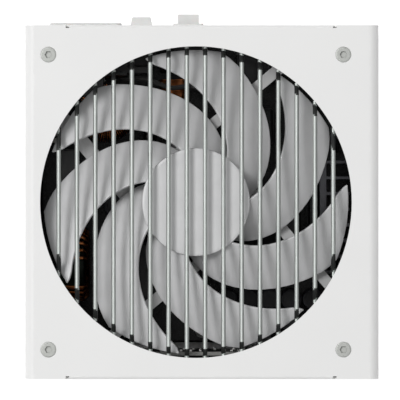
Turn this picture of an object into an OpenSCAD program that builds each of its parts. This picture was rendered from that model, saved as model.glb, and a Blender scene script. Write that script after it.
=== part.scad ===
// ATX power supply unit with a 140 mm intake fan behind a bar grille.
//
// The fan panel faces +Z and the mains (rear) panel faces +Y. The origin is the centre of the
// underside. Every sub-part is a module of its own, drawn where it sits in the finished unit.

/* [Housing] */
// Width across the mains panel
body_w = 150; // [149:0.5:151]
// Depth from the socket panel to the mains panel
body_d = 150; // [149:0.5:151]
// Height from the underside to the fan panel
body_h = 86; // [85.5:0.5:87]
// Thickness of the sheet steel
sheet = 0.8; // [0.7:0.1:0.9]
// Outer radius of the two long bends of the cover
bend_r = 4; // [3.5:0.5:4.5]

/* [Fan] */
// Distance from the housing's centre to the fan's centre, along X
fan_x = -2.5; // [-3:0.5:-2]
// Width of the square fan frame
fan_w = 140; // [139.5:0.5:140]
// Depth of the fan frame
fan_d = 25; // [25:0.5:26]
// Distance between neighbouring fan screws
fan_pitch = 125; // [124:0.5:125]
// Diameter of the round opening in the fan panel
opening_d = 132.1; // [132:0.1:133]
// Diameter of the hub
hub_d = 46; // [44:0.5:48]
// Diameter across the blade tips
tip_d = 129.8; // [128:0.2:130.4]
// Number of blades
blade_count = 7; // [5:1:9]

/* [Grille] */
// Number of bars
bar_count = 16; // [14:2:16]
// Distance between neighbouring bars
bar_pitch = 7.76; // [7.6:0.02:7.8]
// Diameter of a bar
bar_d = 1.9; // [1.6:0.1:2]
// How far the ends of the bars step down into the opening
bar_drop = 3; // [2.5:0.1:3]

/* [Mains panel] */
// Height of the inlet, the button and the switch above the underside
ac_z = 42; // [41.5:0.5:42.5]
// Place of the mains inlet along X
inlet_x = -50.1; // [-51:0.1:-49.5]
// Place of the fan mode button along X
button_x = -26.15; // [-27:0.05:-26]
// Place of the mains switch along X
switch_x = -5.8; // [-6:0.1:-5]
// Travel of the fan mode button
button_travel = 2; // [1:0.5:2.5]
// Angle that the mains switch rocks through
rock_angle = 22; // [18:1:22]

/* [Boards] */
// Height of the main board's underside
board_z = 7.5; // [7:0.5:8]
// Thickness of the printed circuit boards
board_t = 1.6; // [1.2:0.2:1.6]

/* [Hidden] */
$fn = 48;
EPS = 0.01;

// Housing
hw = body_w / 2;
hd = body_d / 2;
panel_z = body_h - sheet;          // underside of the fan panel
gap = 0.1;                         // slip between the cover and the tray
tray_x = hw - sheet - gap;         // half width of the tray over its side flanges
flange_out = hd;                   // outer face of the cover's end flanges
flange_h = 2.4;
flange_x = [-56.2, 55.6];          // the folded stretch of the cover's end edges
relief = [1.5, 1.3];               // the notch at each end of a fold
side_flange_h = 11;
cover_screw_y = [-52, 52];
cover_screw_z = 6;

// Fan
fan_top = panel_z;
fan_low = fan_top - fan_d;
fan_bore_r = 66.8;
ear_t = 4;                         // thickness of the frame's square faces
ear_ease = [2.3, 1];               // slope on the frame's sides that clears the cover's bends
ring_r = opening_d / 2 + 0.1;      // inner radius of the grille ring
ring_w = 2;
hub_r = hub_d / 2;
hub_top = panel_z - 4.4;
hub_low = fan_low + 4.8;
hub_wall = 1.5;
base_t = 3.5;                      // thickness of the motor base and of the struts
base_r = 22;
strut_w = 4.8;
channel_w = 6.3;                   // the strut that carries the lead is wider
strut_foot = 20.9;                 // how far each strut's line passes from the axis
strut_turn = 40;
tube_r = 5.2;
bearing_r = 3.5;
shaft_r = 1.5;
running = 0.05;                    // radial clearance of the shaft
blade_top = panel_z - 5.2;
blade_low = fan_low + 5.4;
blade_t = 1.5;
stator_z = [fan_low + 7.8, fan_low + 14.3];

// Mains panel
wall_y = hd - sheet;               // inner face of the mains panel
inlet_flange = [31, 2.2, 24];
inlet_body = [27, 16, 20];
inlet_mouth = [24.6, 17, 16.8];
pin_t = 2;
pin_h = 4;
pin_dx = 7;
pin_dz = 2;
switch_flange = [13, 2, 21];
switch_body = [11.8, 14, 19.4];
rocker_w = 9.1;
rocker_half = 8.2;
pivot_y = hd - 1;
button_w = 9.7;
button_out = 5;
nut_places = [[-69, 6], [69, 6], [-69, 70], [45, 80]];
nut_r = 1.4;
nut_len = 2.6;

// Boards and what stands on them
top = board_z + board_t;
board_x = 70;
board_y = [-61, 70];
standoff_x = [-64, 0, 64];
standoff_y = [-57, 66];
socket_y = -66;                    // rear face of the socket board

// Sockets as [x, z, columns, pitch]
big_pitch = 4.2;
small_pitch = 3;
row_a = 46;
row_b = 24;
SOCKETS = [
    [-44.5, row_a, 9, big_pitch], [-9, row_a, 5, big_pitch], [17.5, row_a, 6, small_pitch],
    [39, row_a, 3, big_pitch], [57, row_a, 3, big_pitch],
    [-54, row_b, 4, big_pitch], [-32, row_b, 4, big_pitch], [-10, row_b, 4, big_pitch],
    [12, row_b, 4, big_pitch], [34, row_b, 4, big_pitch], [56, row_b, 3, big_pitch]
];
function socket_w(s) = s[2] * s[3] + 1.2;
function socket_h(s) = 2 * s[3] + 1.2;

// ---------------------------------------------------------------- helpers

// A box centred on X and Y that stands on z
module block(x, y, z, size) {
    translate([x - size[0] / 2, y - size[1] / 2, z])
        cube(size);
}

// A plate in the XZ plane: its outline is drawn in X and Z, and it fills y to y + t
module upright(y, t) {
    translate([0, y + t, 0])
        rotate([90, 0, 0])
            linear_extrude(t)
                children();
}

// A rectangle with round corners, centred
module round_rect(w, h, r) {
    square([w - 2 * r, h], center = true);
    square([w, h - 2 * r], center = true);
    for (sx = [-1, 1], sy = [-1, 1])
        translate([sx * (w / 2 - r), sy * (h / 2 - r)])
            circle(r);
}

// A closed ring of rectangular section
module ring(r_in, r_out, h) {
    difference() {
        cylinder(h = h, r = r_out);
        translate([0, 0, -1])
            cylinder(h = h + 2, r = r_in);
    }
}

function unit(v) = v / norm(v);

// A route with each corner cut into a short bend that starts d before it
function rounded(p, d) = [
    for (i = [0:len(p) - 1])
        if (i == 0 || i == len(p) - 1) p[i]
        else let(a = p[i] + d * unit(p[i - 1] - p[i]), b = p[i] + d * unit(p[i + 1] - p[i]))
            each [a, (a + 2 * p[i] + b) / 4, b]
];

// Direction of a route at its point i
function heading(p, i) =
    i == 0 ? unit(p[1] - p[0])
    : i == len(p) - 1 ? unit(p[i] - p[i - 1])
    : unit(unit(p[i + 1] - p[i]) + unit(p[i] - p[i - 1]));

// The part of v that is square to the route at its point i
function squared(v, p, i) =
    let(t = heading(p, i))
    unit(v - (v * t) * t);

// A sideways direction at every point of a route, carried along without twist
function sideways(p) = [
    for (
        i = 0, n = squared(abs(heading(p, 0)[2]) < 0.8 ? [0, 0, 1] : [1, 0, 0], p, 0);
        i < len(p);
        i = i + 1, n = i < len(p) ? squared(n, p, i) : n
    ) n
];

// Faces of a tube whose rings of points follow each other along it
function tube_faces(rings, sides) = concat(
    [
        for (i = [0:rings - 2], j = [0:sides - 1])
            let(a = i * sides + j, b = i * sides + (j + 1) % sides, c = a + sides, d = b + sides)
            each [[a, c, b], [b, c, d]]
    ],
    [
        [for (j = [0:sides - 1]) j],
        [for (j = [0:sides - 1]) rings * sides - 1 - j]
    ]
);

// A tube along a route
module tube(route, r, sides = 8) {
    n = sideways(route);
    points = [
        for (i = [0:len(route) - 1], j = [0:sides - 1])
            let(a = 360 * j / sides)
            route[i] + r * (cos(a) * n[i] + sin(a) * cross(heading(route, i), n[i]))
    ];
    polyhedron(points, tube_faces(len(route), sides));
}

// ---------------------------------------------------------------- housing

// The cover's section in X and Z: a fan panel with two long round bends and two sides
module cover_section() {
    inner_r = bend_r - sheet;
    translate([-hw + bend_r, panel_z])
        square([body_w - 2 * bend_r, sheet]);
    for (s = [-1, 1]) {
        translate([s * (hw - sheet / 2) - sheet / 2, 0])
            square([sheet, body_h - bend_r]);
        translate([s * (hw - bend_r), body_h - bend_r])
            intersection() {
                difference() {
                    circle(bend_r);
                    circle(inner_r);
                }
                translate([s > 0 ? 0 : -bend_r, 0])
                    square(bend_r);
            }
    }
}

// One end flange of the cover, folded down on to the top edge of the tray's end panel
module cover_flange() {
    fold_r = 1.2;
    translate([flange_x[0], 0, 0])
        rotate([90, 0, 90])
            linear_extrude(flange_x[1] - flange_x[0])
                difference() {
                    union() {
                        translate([flange_out - sheet, body_h - flange_h])
                            square([sheet, flange_h - fold_r]);
                        translate([flange_out - fold_r - 1, panel_z])
                            square([1 + EPS, sheet]);
                        translate([flange_out - fold_r, body_h - fold_r])
                            intersection() {
                                circle(fold_r);
                                square(fold_r);
                            }
                    }
                    translate([flange_out - fold_r, body_h - fold_r])
                        circle(fold_r - sheet);
                }
}

module top_cover() {
    color("whitesmoke")
        difference() {
            union() {
                difference() {
                    translate([0, hd, 0])
                        rotate([90, 0, 0])
                            linear_extrude(body_d)
                                cover_section();
                    for (s = [-1, 1])
                        translate([
                            flange_x[0] - relief[0],
                            s > 0 ? flange_out - 1.2 : -hd - 1,
                            panel_z - 1
                        ])
                            cube([
                                flange_x[1] - flange_x[0] + 2 * relief[0],
                                hd - flange_out + 2.2,
                                sheet + 2
                            ]);
                }
                cover_flange();
                mirror([0, 1, 0])
                    cover_flange();
            }
            translate([fan_x, 0, panel_z - 1])
                cylinder(h = sheet + 2, d = opening_d);
            for (sx = [-1, 1], sy = [-1, 1])
                translate([fan_x + sx * fan_pitch / 2, sy * fan_pitch / 2, panel_z - 0.5])
                    cylinder(h = sheet + 0.5 + EPS, r1 = 2.15, r2 = 3.45);
            for (s = [-1, 1], y = cover_screw_y)
                translate([s * hw, y, cover_screw_z])
                    rotate([0, s * 90, 0])
                        translate([0, 0, -2])
                            cylinder(h = 2 + EPS, r1 = 1.6, r2 = 3);
        }
}

// Whether a vent hole at x, z stays clear of everything that is fitted in the mains panel
function vent_clear(x, z) =
    !(abs(x - inlet_x) < 20 && abs(z - ac_z) < 16.5)
    && !(abs(x - button_x) < 12 && abs(z - ac_z) < 13)
    && !(abs(x - switch_x) < 11.5 && abs(z - ac_z) < 15.5)
    && min([for (p = nut_places) norm([x, z] - p)]) > 8;

module vent_field() {
    pitch = 7.2;
    row = pitch * sqrt(3) / 2;
    rows = 10;
    columns = 18;
    for (j = [0:rows], i = [0:columns - (j % 2)]) {
        x = (i - columns / 2 + (j % 2) / 2) * pitch;
        z = 9 + j * row;
        if (vent_clear(x, z))
            translate([x, z])
                rotate(30)
                    circle(r = 3.7, $fn = 6);
    }
}

// Outline of an end panel of the tray in X and Z
module end_panel() {
    corner = bend_r - sheet;
    difference() {
        union() {
            translate([-tray_x, 0])
                square([2 * tray_x, panel_z - gap - corner]);
            translate([-tray_x + corner, 0])
                square([2 * (tray_x - corner), panel_z - gap]);
            for (s = [-1, 1])
                translate([s * (tray_x - corner), panel_z - gap - corner])
                    circle(corner);
        }
        translate([flange_x[0] - relief[0], body_h - flange_h - gap])
            square([flange_x[1] - flange_x[0] + 2 * relief[0], flange_h + 1]);
    }
}

module rear_panel() {
    difference() {
        end_panel();
        translate([inlet_x, ac_z])
            square([inlet_body[0] + 0.2, inlet_body[2] + 0.2], center = true);
        translate([button_x, ac_z])
            square(button_w + 0.5, center = true);
        translate([switch_x, ac_z])
            square([switch_body[0] + 0.2, switch_body[2] + 0.2], center = true);
        for (p = nut_places)
            translate(p)
                circle(2.4);
        vent_field();
    }
}

module front_panel() {
    difference() {
        end_panel();
        for (s = SOCKETS)
            translate([s[0], s[1]])
                square([socket_w(s) + 0.3, socket_h(s) + 0.3], center = true);
    }
}

module lower_tray() {
    color("gainsboro")
        difference() {
            union() {
                block(0, 0, 0, [2 * tray_x, body_d - 2 * EPS, sheet]);
                upright(wall_y, sheet)
                    rear_panel();
                upright(-hd, sheet)
                    front_panel();
                for (s = [-1, 1])
                    block(s * (tray_x - sheet / 2), 0, 0, [sheet, body_d - 8, side_flange_h]);
            }
            for (s = [-1, 1], y = cover_screw_y)
                translate([s * tray_x, y, cover_screw_z])
                    rotate([0, 90, 0])
                        cylinder(h = 4, r = 1.5, center = true);
        }
}

module cover_screws() {
    color("silver")
        for (s = [-1, 1], y = cover_screw_y)
            translate([s * hw, y, cover_screw_z])
                rotate([0, s * 90, 0])
                    difference() {
                        union() {
                            translate([0, 0, -5])
                                cylinder(h = 5, r = 1.45);
                            translate([0, 0, -1.4])
                                cylinder(h = 1.4, r1 = 1.45, r2 = 2.85);
                        }
                        translate([0, 0, -0.9])
                            cylinder(h = 1, r = 1.1, $fn = 6);
                    }
}

// Clinch nuts for the four case screws, pressed into the mains panel from inside
module rear_nuts() {
    color("silver")
        for (p = nut_places)
            translate([p[0], hd, p[1]])
                rotate([90, 0, 0])
                    difference() {
                        union() {
                            cylinder(h = sheet, r = 2.4);
                            translate([0, 0, sheet])
                                cylinder(h = nut_len - sheet, r = 3.4);
                        }
                        translate([0, 0, -1])
                            cylinder(h = nut_len + 2, r = nut_r);
                    }
}

module insulation_sheet() {
    color("black")
        difference() {
            block(0, 4, 2.2, [2 * board_x + 4, 132, 0.4]);
            for (x = standoff_x, y = standoff_y)
                translate([x, y, 1])
                    cylinder(h = 3, r = 3.2);
        }
}

// ---------------------------------------------------------------- fan

module frame_outline() {
    difference() {
        round_rect(fan_w, fan_w, 6);
        circle(fan_bore_r, $fn = 96);
    }
}

module fan_strut(k) {
    width = k == 1 ? channel_w : strut_w;
    reach = sqrt(pow(fan_bore_r + 1, 2) - pow(strut_foot, 2));
    rotate(strut_turn + 90 * k)
        translate([-3, strut_foot - width / 2, 0])
            difference() {
                cube([reach + 3, width, base_t]);
                // the channel that holds the fan's lead is open underneath
                if (k == 1)
                    translate([-1, (width - 3.7) / 2, -1])
                        cube([reach + 1.5, 3.7, 2.9]);
            }
}

module fan_frame() {
    color("lightgray")
        translate([fan_x, 0, fan_low])
            difference() {
                union() {
                    linear_extrude(ear_t)
                        frame_outline();
                    translate([0, 0, fan_d - ear_t])
                        linear_extrude(ear_t)
                            frame_outline();
                    ring(fan_bore_r, 69.8, fan_d);
                    for (sx = [-1, 1], sy = [-1, 1])
                        translate([sx * fan_pitch / 2, sy * fan_pitch / 2, 0])
                            cylinder(h = fan_d, r = 4.4);
                    cylinder(h = base_t, r = base_r);
                    for (k = [0:3])
                        fan_strut(k);
                    cylinder(h = 15.8, r = tube_r);
                }
                translate([0, 0, 1.2])
                    cylinder(h = fan_d, r = bearing_r);
                translate([0, 0, fan_d - bar_drop - 1.1])
                    cylinder(h = bar_drop + 2, r = ring_r + ring_w + 0.05);
                for (s = [-1, 1])
                    translate([s * fan_w / 2, fan_w / 2 + 1, fan_d])
                        rotate([90, 0, 0])
                            linear_extrude(fan_w + 2)
                                polygon([
                                    [EPS * s, EPS],
                                    [EPS * s, -ear_ease[1]],
                                    [-s * ear_ease[0], EPS]
                                ]);
                for (sx = [-1, 1], sy = [-1, 1])
                    translate([sx * fan_pitch / 2, sy * fan_pitch / 2, -1]) {
                        cylinder(h = fan_d + 2, r = 2.15);
                        translate([0, 0, fan_d + 1 - 1.9])
                            cylinder(h = 2, r = 3);
                    }
                // way out for the lead through the rim
                rotate(strut_turn + 90)
                    translate([55, strut_foot - 1.9, -1])
                        cube([20, 3.8, 2.9]);
            }
}

module fan_screws() {
    color("silver")
        for (sx = [-1, 1], sy = [-1, 1])
            translate([fan_x + sx * fan_pitch / 2, sy * fan_pitch / 2, body_h])
                difference() {
                    union() {
                        translate([0, 0, -9])
                            cylinder(h = 9, r = 1.95);
                        translate([0, 0, -1.45])
                            cylinder(h = 1.45, r1 = 1.95, r2 = 3.35);
                    }
                    translate([0, 0, -1.2])
                        rotate(30)
                            cylinder(h = 2, r = 1.6, $fn = 6);
                }
}

module fan_bearing() {
    color("goldenrod")
        translate([fan_x, 0, fan_low + 1.2])
            ring(shaft_r + running, bearing_r, 14.6);
}

module stator_core() {
    shoe_r = 17.6;
    color("dimgray")
        translate([fan_x, 0, stator_z[0]])
            difference() {
                linear_extrude(stator_z[1] - stator_z[0])
                    union() {
                        circle(8);
                        for (a = [0:90:270])
                            rotate(a) {
                                translate([0, -2.5])
                                    square([shoe_r - 1.2, 5]);
                                intersection() {
                                    difference() {
                                        circle(shoe_r);
                                        circle(shoe_r - 1.6);
                                    }
                                    polygon([[0, 0], [25, -15], [25, 15]]);
                                }
                            }
                    }
                translate([0, 0, -1])
                    cylinder(h = 20, r = tube_r);
            }
}

module stator_coils() {
    color("peru")
        for (a = [0:90:270])
            translate([fan_x, 0, (stator_z[0] + stator_z[1]) / 2])
                rotate(a)
                    translate([8.3, 0, 0])
                        difference() {
                            translate([0, -4.6, -5.2])
                                cube([7.2, 9.2, 10.4]);
                            translate([-1, -2.6, -3.35])
                                cube([10, 5.2, 6.7]);
                        }
}

module fan_circuit() {
    color("darkgreen")
        translate([fan_x, 0, fan_low + base_t + 0.2])
            ring(tube_r + 0.2, 19, 1);
}

// Angle of the leading and the trailing edge of the first blade at radius r
function lead_angle(r) = 4.2 + 1.36 * (r - 23.3);
function trail_angle(r) = 4.2 - 47.5 + 1.73 * (r - 24);

// A point of a blade: u runs from root to tip, v from the trailing to the leading edge, and
// side is 1 on the upper skin and -1 on the lower one
function blade_point(u, v, side) =
    let(
        root = hub_r - 1,
        r = root + (tip_d / 2 - root) * u,
        tip_round = v > 0.99 ? 2.4 * max(0, u - 0.94) / 0.06 : 0,
        a = trail_angle(r) + (lead_angle(r) - tip_round - trail_angle(r)) * v,
        low = blade_low + 1.2 + 3 * u,
        z = low + (blade_top - low - 0.6) * (0.82 * v + 0.18 * sin(90 * v)),
        t = blade_t * (0.45 + 0.55 * sin(180 * v))
    )
    [r * cos(a), r * sin(a), z + side * t / 2];

module blade() {
    nu = 8;
    nv = 6;
    row = nv + 1;
    skin = (nu + 1) * row;
    points = [
        for (side = [1, -1], i = [0:nu], j = [0:nv]) blade_point(i / nu, j / nv, side)
    ];
    upper = [
        for (i = [0:nu - 1], j = [0:nv - 1])
            let(a = i * row + j, b = a + 1, c = a + row, d = c + 1)
            each [[a, b, c], [b, d, c]]
    ];
    lower = [for (f = upper) [f[0] + skin, f[2] + skin, f[1] + skin]];
    ends = [
        for (i = [0:nu - 1], j = [0, nv])
            let(a = i * row + j, c = a + row, a2 = a + skin, c2 = c + skin)
            each j == 0 ? [[a, c, a2], [c, c2, a2]] : [[a, a2, c], [c, a2, c2]]
    ];
    caps = [
        for (j = [0:nv - 1], i = [0, nu])
            let(a = i * row + j, b = a + 1, a2 = a + skin, b2 = b + skin)
            each i == 0 ? [[a, a2, b], [b, a2, b2]] : [[a, b, a2], [b, b2, a2]]
    ];
    polyhedron(points, concat(upper, lower, ends, caps));
}

module fan_rotor() {
    inner_r = hub_r - hub_wall;
    color("silver")
        translate([fan_x, 0, 0])
            union() {
                difference() {
                    union() {
                        translate([0, 0, hub_low])
                            cylinder(h = hub_top - hub_low - 0.8, r = hub_r);
                        translate([0, 0, hub_top - 0.8])
                            cylinder(h = 0.8, r1 = hub_r, r2 = hub_r - 0.8);
                    }
                    translate([0, 0, hub_low - 1])
                        cylinder(h = hub_top - hub_low - 0.6, r = inner_r);
                }
                translate([0, 0, hub_top - 4.2])
                    ring(shaft_r, 4, 3.2);
                for (k = [0:blade_count - 1])
                    rotate(k * 360 / blade_count)
                        blade();
            }
}

module fan_shaft() {
    color("silver")
        translate([fan_x, 0, fan_low + 1.5])
            cylinder(h = hub_top - 1.8 - fan_low - 1.5, r = shaft_r);
}

module fan_yoke() {
    color("dimgray")
        translate([fan_x, 0, hub_low + 0.4])
            ring(hub_r - hub_wall - 0.9, hub_r - hub_wall, hub_top - hub_low - 2.4);
}

module fan_magnet() {
    color("black")
        translate([fan_x, 0, hub_low + 1])
            ring(18.2, hub_r - hub_wall - 0.9, 10);
}

// ---------------------------------------------------------------- grille

module grille_ring() {
    color("silver")
        translate([fan_x, 0, panel_z - bar_drop - 1])
            ring(ring_r, ring_r + ring_w, bar_drop + 0.95);
}

// One bar: a straight span level with the panel, and a step down to a short tip at each end
module grille_bar(x) {
    r = bar_d / 2;
    reach = sqrt(pow(ring_r + 0.05, 2) - x * x);
    tip = sqrt(pow(65.4, 2) - x * x);
    span = sqrt(pow(62.4, 2) - x * x);
    soft = 0.4;
    z_high = body_h - r;
    z_low = z_high - bar_drop;
    half = [
        [x, span - soft, z_high],
        [x, span + soft, z_high - soft],
        [x, tip - soft, z_low + soft],
        [x, tip + soft, z_low],
        [x, reach, z_low]
    ];
    tube(concat([for (i = [4:-1:0]) [x, -half[i][1], half[i][2]]], half), r, 12);
}

module grille_bars() {
    color("silver")
        translate([fan_x, 0, 0])
            for (i = [0:bar_count - 1])
                grille_bar((i - (bar_count - 1) / 2) * bar_pitch);
}

// ---------------------------------------------------------------- mains panel

module inlet_housing() {
    deep = inlet_flange[1] + inlet_body[1];
    color("white")
        translate([inlet_x, hd + inlet_flange[1], ac_z])
            difference() {
                union() {
                    translate([0, -inlet_flange[1], 0])
                        upright(0, inlet_flange[1])
                            round_rect(inlet_flange[0], inlet_flange[2], 2.5);
                    translate([0, -deep - 0.8, 0])
                        upright(0, inlet_body[1] + 0.8)
                            square([inlet_body[0], inlet_body[2]], center = true);
                }
                // the shaped mouth for the mains connector
                translate([0, -inlet_mouth[1], 0])
                    upright(0, inlet_mouth[1] + 1)
                        difference() {
                            square([inlet_mouth[0], inlet_mouth[2]], center = true);
                            for (s = [-1, 1])
                                translate([s * inlet_mouth[0] / 2, inlet_mouth[2] / 2])
                                    rotate(45)
                                        square(5.6, center = true);
                        }
                for (p = [[-pin_dx, -pin_dz], [pin_dx, -pin_dz], [0, pin_dz]])
                    translate([p[0] - pin_t / 2, -deep - 2, p[1] - pin_h / 2])
                        cube([pin_t, 8, pin_h]);
            }
}

module inlet_pins() {
    color("silver")
        for (p = [[-pin_dx, -pin_dz], [pin_dx, -pin_dz], [0, pin_dz]])
            translate([inlet_x + p[0] - pin_t / 2, hd - 23, ac_z + p[1] - pin_h / 2])
                cube([pin_t, 20.8, pin_h]);
}

module switch_housing() {
    color("white")
        translate([switch_x, 0, ac_z])
            difference() {
                union() {
                    upright(hd, switch_flange[1])
                        round_rect(switch_flange[0], switch_flange[2], 1.2);
                    upright(hd - switch_body[1], switch_body[1])
                        square([switch_body[0], switch_body[2]], center = true);
                }
                upright(hd - switch_body[1] + 2, switch_body[1] + 2)
                    square([rocker_w + 0.5, 2 * rocker_half + 2.5], center = true);
                translate([0, pivot_y, 0])
                    rotate([0, 90, 0])
                        cylinder(h = 10.9, r = 1.06, center = true);
                for (z = [-5, 5])
                    translate([-2.4, hd - switch_body[1] - 1, z - 0.4])
                        cube([4.8, 4, 0.8]);
            }
}

module switch_terminals() {
    color("gold")
        for (z = [-5, 5])
            translate([switch_x - 2.4, hd - switch_body[1] - 7, ac_z + z - 0.4])
                cube([4.8, 9.3, 0.8]);
}

// The rocker's side outline about its pivot: z is along the panel and y outwards
module rocker_outline() {
    half = rock_angle / 2;
    crest = 4;
    edge = crest + rocker_half * tan(half);
    polygon([
        [crest, 0], [edge, rocker_half], [1.2, rocker_half], [-1.5, 4],
        [-1.5, -4], [1.2, -rocker_half], [edge, -rocker_half]
    ]);
}

module switch_rocker() {
    color("white")
        translate([switch_x, pivot_y, ac_z])
            rotate([-rock_angle / 2, 0, 0])
                union() {
                    translate([-rocker_w / 2, 0, 0])
                        rotate([90, 0, 90])
                            linear_extrude(rocker_w)
                                rocker_outline();
                    rotate([0, 90, 0])
                        cylinder(h = 10.7, r = 1, center = true);
                }
}

// The button's cap: a pyramid stump in front, a collar behind the panel and a stem
module mode_button() {
    base = button_w / 2;
    face = base - 0.9;
    stump = [[-base, -0.9], [-base, 0.6], [-face, button_out], [face, button_out],
             [base, 0.6], [base, -0.9]];
    color("white")
        translate([button_x, hd, ac_z])
            union() {
                intersection() {
                    translate([0, 0, -base])
                        linear_extrude(button_w)
                            polygon(stump);
                    translate([-base, 0, 0])
                        rotate([90, 0, 90])
                            linear_extrude(button_w)
                                polygon([for (p = stump) [p[1], p[0]]]);
                }
                translate([-base - 0.9, -2.4, -base - 0.9])
                    cube([button_w + 1.8, 1.3, button_w + 1.8]);
                translate([-base, -1.5, -base])
                    cube([button_w, 1, button_w]);
                translate([-2, -8.5, -2])
                    cube([4, 7, 4]);
            }
}

module mode_switch() {
    depth = 12.1 - button_travel;
    color("dimgray")
        translate([button_x, 0, ac_z])
            difference() {
                translate([-6.2, hd - 16.1, -6.2])
                    cube([12.4, depth, 12.4]);
                translate([-2.15, hd - 12, -2.15])
                    cube([4.3, 10, 4.3]);
            }
}

// The coil round the button's stem, a swept tube of square-cut rings
module button_spring() {
    turns = 4;
    sides = 6;
    steps = turns * 12;
    wire_r = 0.25;
    coil_r = 3.4;
    low = hd - 4 - button_travel + wire_r + 0.02;
    high = hd - 2.4 - wire_r - 0.02;
    points = [
        for (i = [0:steps], j = [0:sides - 1])
            let(a = 360 * turns * i / steps, b = 360 * j / sides, r = coil_r + wire_r * cos(b))
            [r * cos(a), low + (high - low) * i / steps + wire_r * sin(b), r * sin(a)]
    ];
    color("silver")
        translate([button_x, 0, ac_z])
            polyhedron(points, tube_faces(steps + 1, sides));
}

// Wires from the inlet's filter board to the switch, and from the switch to the main board
module mains_leads() {
    wire_r = 1.1;
    color("saddlebrown") {
        tube(rounded([
            [inlet_x + 14, hd - 21.8, ac_z + 12],
            [inlet_x + 26, hd - 21.8, ac_z + 12],
            [switch_x - 8, hd - 26, ac_z + 10],
            [switch_x, hd - 25, ac_z + 5],
            [switch_x, hd - 21.1, ac_z + 5]
        ], 2), wire_r);
        tube(rounded([
            [switch_x, hd - 21.1, ac_z - 5],
            [switch_x, hd - 26, ac_z - 5],
            [switch_x + 9, hd - 26, ac_z - 9],
            [switch_x + 9, hd - 26, top + 0.05]
        ], 2), wire_r);
    }
}

// The protective conductor, from the inlet's pin to the main board
module earth_lead() {
    color("green")
        tube(rounded([
            [inlet_x, hd - 23.1, ac_z + pin_dz],
            [inlet_x, hd - 26, ac_z + pin_dz],
            [inlet_x - 6, hd - 26, ac_z - 4],
            [inlet_x - 17, hd - 24, ac_z - 9],
            [inlet_x - 17, hd - 24, top + 0.05]
        ], 1.4), 1.1);
}

// ---------------------------------------------------------------- main board

module main_board() {
    color("darkgreen")
        difference() {
            translate([-board_x, board_y[0], board_z])
                cube([2 * board_x, board_y[1] - board_y[0], board_t]);
            for (x = standoff_x, y = standoff_y)
                translate([x, y, board_z - 1])
                    cylinder(h = 4, r = 1.7);
        }
}

module standoffs() {
    color("goldenrod")
        for (x = standoff_x, y = standoff_y)
            translate([x, y, sheet])
                difference() {
                    cylinder(h = board_z - sheet, r = 2.8, $fn = 6);
                    translate([0, 0, 1.2])
                        cylinder(h = board_z, r = 1.5);
                }
}

module board_screws() {
    color("silver")
        for (x = standoff_x, y = standoff_y)
            translate([x, y, 0])
                difference() {
                    union() {
                        translate([0, 0, board_z - 4])
                            cylinder(h = board_t + 4, r = 1.45);
                        translate([0, 0, top])
                            cylinder(h = 1.8, r = 2.8);
                    }
                    for (a = [0, 90])
                        rotate(a)
                            translate([-1.6, -0.35, top + 0.9])
                                cube([3.2, 0.7, 2]);
                }
}

// A small board soldered across the inlet's pins
module filter_board() {
    color("darkgreen")
        difference() {
            translate([inlet_x - 16, hd - 20.6, ac_z - 14])
                cube([34, board_t, 31]);
            for (p = [[-pin_dx, -pin_dz], [pin_dx, -pin_dz], [0, pin_dz]])
                translate([
                    inlet_x + p[0] - pin_t / 2 - 0.1,
                    hd - 22,
                    ac_z + p[1] - pin_h / 2 - 0.1
                ])
                    cube([pin_t + 0.2, 5, pin_h + 0.2]);
        }
}

module film_capacitors() {
    color("firebrick") {
        block(-58, 13, top, [8, 20, 17]);
        block(-33, 60.5, top, [22, 9, 15]);
        block(inlet_x, hd - 25.3, ac_z + 9.5, [16, 9, 7]);
    }
}

module disc_capacitors() {
    color("royalblue")
        for (x = [-17, -11, 52, 58])
            translate([x, x < 0 ? 61 : 26, top + 4.5])
                rotate([0, 90, 0])
                    cylinder(h = 3.2, r = 4.4, center = true);
}

// The mains choke: an iron ring with two windings
module choke_core() {
    color("darkolivegreen")
        translate([-42, 39, top + 2])
            ring(6.5, 11.2, 9);
}

module choke_winding() {
    color("peru")
        translate([-42, 39, top + 2])
            for (a = [20, 200])
                rotate(a)
                    rotate_extrude(angle = 140)
                        difference() {
                            translate([5, -1.5])
                                square([7.8, 12]);
                            translate([6.5 - 0.05, -0.05])
                                square([4.8, 9.1]);
                        }
}

module line_coil() {
    color("peru")
        translate([-13, 45, top + 6.1])
            rotate([-90, 0, 0])
                ring(2.5, 6, 9);
}

module fuse() {
    color("lightgray")
        translate([-23, 27, top + 3.1])
            rotate([-90, 0, 0])
                cylinder(h = 20, r = 2.6);
}

module relay() {
    color("black")
        block(44, 61, top, [20, 10.5, 15.5]);
}

module bridge_rectifier() {
    color("dimgray")
        translate([-17.2, 19, top + 5])
            cube([3.6, 24, 18]);
}

module bridge_heatsink() {
    color("gray")
        union() {
            translate([-13.5, 17, top])
                cube([3, 27, 38]);
            for (y = [18, 24.5, 31, 37.5, 42])
                translate([-10.6, y, top + 6])
                    cube([6, 1.4, 32]);
        }
}

// The power factor choke stands on its rim
module pfc_core() {
    color("darkolivegreen")
        translate([-51, -27, top + 17.5])
            rotate([0, -90, 0])
                ring(8, 14.5, 11);
}

module pfc_winding() {
    color("peru")
        translate([-51, -27, top + 17.5])
            rotate([0, -90, 0])
                rotate_extrude(angle = 330)
                    difference() {
                        translate([6, -2])
                            square([10.5, 15]);
                        translate([7.95, -0.05])
                            square([6.6, 11.1]);
                    }
}

module bulk_capacitors() {
    color("darkslategray")
        for (y = [1, -31])
            translate([-28.2, y, top])
                union() {
                    cylinder(h = 44, r = 14.6);
                    translate([0, 0, 44])
                        cylinder(h = 1, r1 = 14.6, r2 = 13.6);
                }
}

module primary_heatsink() {
    color("gray")
        union() {
            translate([-4, -50, top])
                cube([3, 62, 42]);
            for (i = [0:6])
                translate([-10.5, -49 + i * 9.6, top + 6])
                    cube([6.6, 1.4, 36]);
        }
}

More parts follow.
